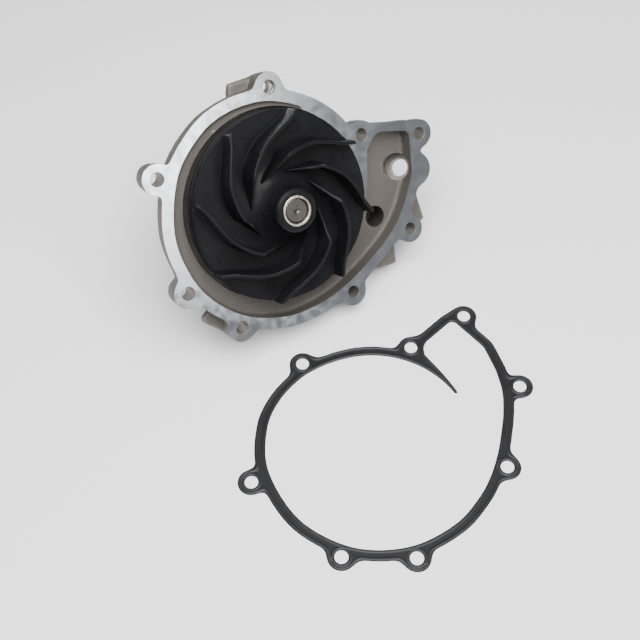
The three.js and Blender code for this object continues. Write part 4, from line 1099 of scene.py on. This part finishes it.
wheel = turned("pulley_wheel", grooved_rim() + [
    (44.2, PULLEY_FRONT), (43.8, PULLEY_FRONT - 0.4), (43.8, PULLEY_REAR + 6.5), (43.2, PULLEY_REAR + 4.8),
    (41.6, PULLEY_REAR + 4), (bore, PULLEY_REAR + 4), (bore, PULLEY_REAR)], 160)
cut(wheel, bolt_drills(-90, -75))
finish_piece(wheel, PUMP, "rotor", ["pulley_rim", "pulley_web"], [PAINT], 28)

washer_top = PULLEY_REAR - CLEARANCE
washer = turned("washers", chamfered(tube(4.3, 8, washer_top - 1.6, washer_top), 0.35), 64)
arrayed(washer, PULLEY_BOLT_COUNT, PULLEY_BOLT_CIRCLE, PULLEY_BOLT_CLOCKING, ZINC)
finish_piece(washer, PUMP, "rotor", numbered("pulley_washer", PULLEY_BOLT_COUNT), [ZINC], 30)


def hex_bolt(seat, flats=13.0, head=5.3, shank=4.0, end=-72.7):
    """A bolt with a chamfered hexagon head and a chamfered shank, head towards -Z."""
    sides = 72
    vertices = []
    face = seat - head
    for k in range(sides):
        a = 2 * math.pi * k / sides
        reach = flats / 2 / math.cos((a + math.pi / 6) % (math.pi / 3) - math.pi / 6)
        ring = [(6.1, face), (reach, face + (reach - 6.1) * 0.55), (reach, seat - 0.25), (reach - 0.25, seat),
                (shank, seat), (shank, end - 0.8), (shank - 0.8, end)]
        vertices += [(r * math.cos(a), r * math.sin(a), z) for r, z in ring]
    n = 7
    faces = [(k * n + i, ((k + 1) % sides) * n + i, ((k + 1) % sides) * n + i + 1, k * n + i + 1)
             for k in range(sides) for i in range(n - 1)]
    faces.append(tuple(k * n for k in reversed(range(sides))))
    faces.append(tuple(k * n + n - 1 for k in range(sides)))
    obj = mesh_object("pulley_bolts", vertices, faces)
    tidy(obj)
    return obj


bolts = arrayed(hex_bolt(washer_top - 1.9), PULLEY_BOLT_COUNT, PULLEY_BOLT_CIRCLE, PULLEY_BOLT_CLOCKING, ZINC)
finish_piece(bolts, PUMP, "rotor", numbered("pulley_bolt", PULLEY_BOLT_COUNT), [ZINC], 30)

# ---------------------------------------------------------------- gasket

# The sheet's height at each distance in from its edges: a rounded edge, then the sealing bead
SHEET_STEPS = [(0.0, 0.30), (0.25, 0.52), (0.6, 0.62), (0.95, 0.86),
               (1.35, 0.98), (1.75, 0.86), (2.1, 0.62), (2.6, 0.56)]


def make_gasket():
    step = 0.7
    xs, ys = np.arange(-92, 112, step), np.arange(-99, 124, step)
    x, y = np.meshgrid(xs, ys, indexing="ij")
    opening = distance_to(gasket_opening, x, y)
    sheet = np.maximum(band_field(opening, x, y), -opening)
    for cx, cy in bolt_centres:
        sheet = np.maximum(sheet, BOLT_HOLE_RADIUS - np.hypot(x - cx, y - cy))
    points, heights, edges = [], [], []
    for inward, height in SHEET_STEPS:
        for loop in contours(sheet, xs, ys, -inward):
            gaps = np.linalg.norm(loop - np.roll(loop, 1, 0), axis=1)
            loop = loop[gaps > 0.12]
            if len(loop) < 8:
                continue
            first = len(points)
            points += [Vector(p) for p in loop]
            heights += [height] * len(loop)
            edges += [(first + k, first + (k + 1) % len(loop)) for k in range(len(loop))]
    vertices, _, faces, origin, _, _ = delaunay_2d_cdt(points, edges, [], 0, 1e-4)
    height = [max((heights[k] for k in o), default=0.5) for o in origin]
    centre = np.array([[sum(vertices[k][axis] for k in f) / 3 for axis in (0, 1)] for f in faces])
    i = np.clip((centre[:, 0] - xs[0]) / step, 0, len(xs) - 2)
    j = np.clip((centre[:, 1] - ys[0]) / step, 0, len(ys) - 2)
    i0, j0 = i.astype(int), j.astype(int)
    u, v = i - i0, j - j0
    near = sheet[i0, j0] * (1 - u) * (1 - v) + sheet[i0 + 1, j0] * u * (1 - v)
    inside = near + sheet[i0, j0 + 1] * (1 - u) * v + sheet[i0 + 1, j0 + 1] * u * v
    top = [tuple(f) for f, d in zip(faces, inside) if d < 0.0]
    n = len(vertices)
    count = {}
    for f in top:
        for a, b in zip(f, f[1:] + f[:1]):
            count[(a, b)] = count.get((a, b), 0) + 1
    border = [(a, b) for (a, b) in count if (b, a) not in count]
    solid = [(p[0], p[1], h) for p, h in zip(vertices, height)] + [(p[0], p[1], 0.0) for p in vertices]
    skin = top + [(c + n, b + n, a + n) for a, b, c in top] + [(b, a, a + n, b + n) for a, b in border]
    obj = mesh_object("gasket_sheet", solid, skin)
    bm = bmesh.new()
    bm.from_mesh(obj.data)
    bmesh.ops.delete(bm, geom=[q for q in bm.verts if not q.link_faces], context="VERTS")
    bmesh.ops.recalc_face_normals(bm, faces=bm.faces)
    bm.to_mesh(obj.data)
    bm.free()

    def by_height(mesh):
        c, normal = face_data(mesh)
        return ((c[:, 2] > 0.63) & (normal[:, 2] > 0.2)).astype(int)

    finish_piece(obj, GASKET, "gasket", ["flange_gasket"], [COATED, BEAD], 45, by_height)


make_gasket()

# ---------------------------------------------------------------- floor, light and camera

bm = bmesh.new()
bmesh.ops.create_grid(bm, x_segments=8, y_segments=8, size=3.0)
floor = from_bmesh("floor", bm)
paper = Finish("pale paper")
paper.set(Base_Color=(0.92, 0.92, 0.92, 1), Roughness=0.9)
floor.data.materials.append(paper.material)


def soft_light(name, place, aim, width, height, power):
    data = bpy.data.lights.new(name, "AREA")
    data.shape = "RECTANGLE"
    data.size, data.size_y = width, height
    data.energy = power
    obj = bpy.data.objects.new(name, data)
    obj.location = place
    obj.rotation_euler = (Vector(aim) - Vector(place)).to_track_quat("-Z", "Y").to_euler()
    bpy.context.scene.collection.objects.link(obj)


soft_light("overhead", (0.1, -0.27, 1.12), (0, 0.05, 0), 1.2, 1.0, 40)
soft_light("right front", (1.34, -1.11, 0.88), (-0.08, 0.08, 0.13), 0.62, 0.36, 4.5)
soft_light("left", (-0.9, -0.2, 0.6), (-0.05, 0.05, 0.05), 0.6, 0.6, 1.5)

world = bpy.data.worlds.new("studio")
world.use_nodes = True
world.node_tree.nodes["Background"].inputs["Color"].default_value = (0.94, 0.97, 1, 1)
world.node_tree.nodes["Background"].inputs["Strength"].default_value = 0.24
bpy.context.scene.world = world

CAMERA_PLACE = (-292.1, -133.0, 622.8)
CAMERA_RIGHT = (0.64588, 0.59640, 0.47660)
CAMERA_UP = (-0.56835, 0.79243, -0.22142)
CAMERA_BACK = (-0.50973, -0.12786, 0.85078)
lens = bpy.data.cameras.new("camera")
lens.sensor_width = 36
lens.lens = 58.25
lens.clip_start = 0.01
camera = bpy.data.objects.new("camera", lens)
bpy.context.scene.collection.objects.link(camera)
turn = Matrix((pump_x, pump_y, shaft_axis)).transposed()
axes = Matrix([turn @ Vector(v).normalized() for v in (CAMERA_RIGHT, CAMERA_UP, CAMERA_BACK)]).transposed()
camera.matrix_world = Matrix.Translation(PUMP @ Vector(CAMERA_PLACE)) @ axes.to_4x4()
bpy.context.scene.camera = camera
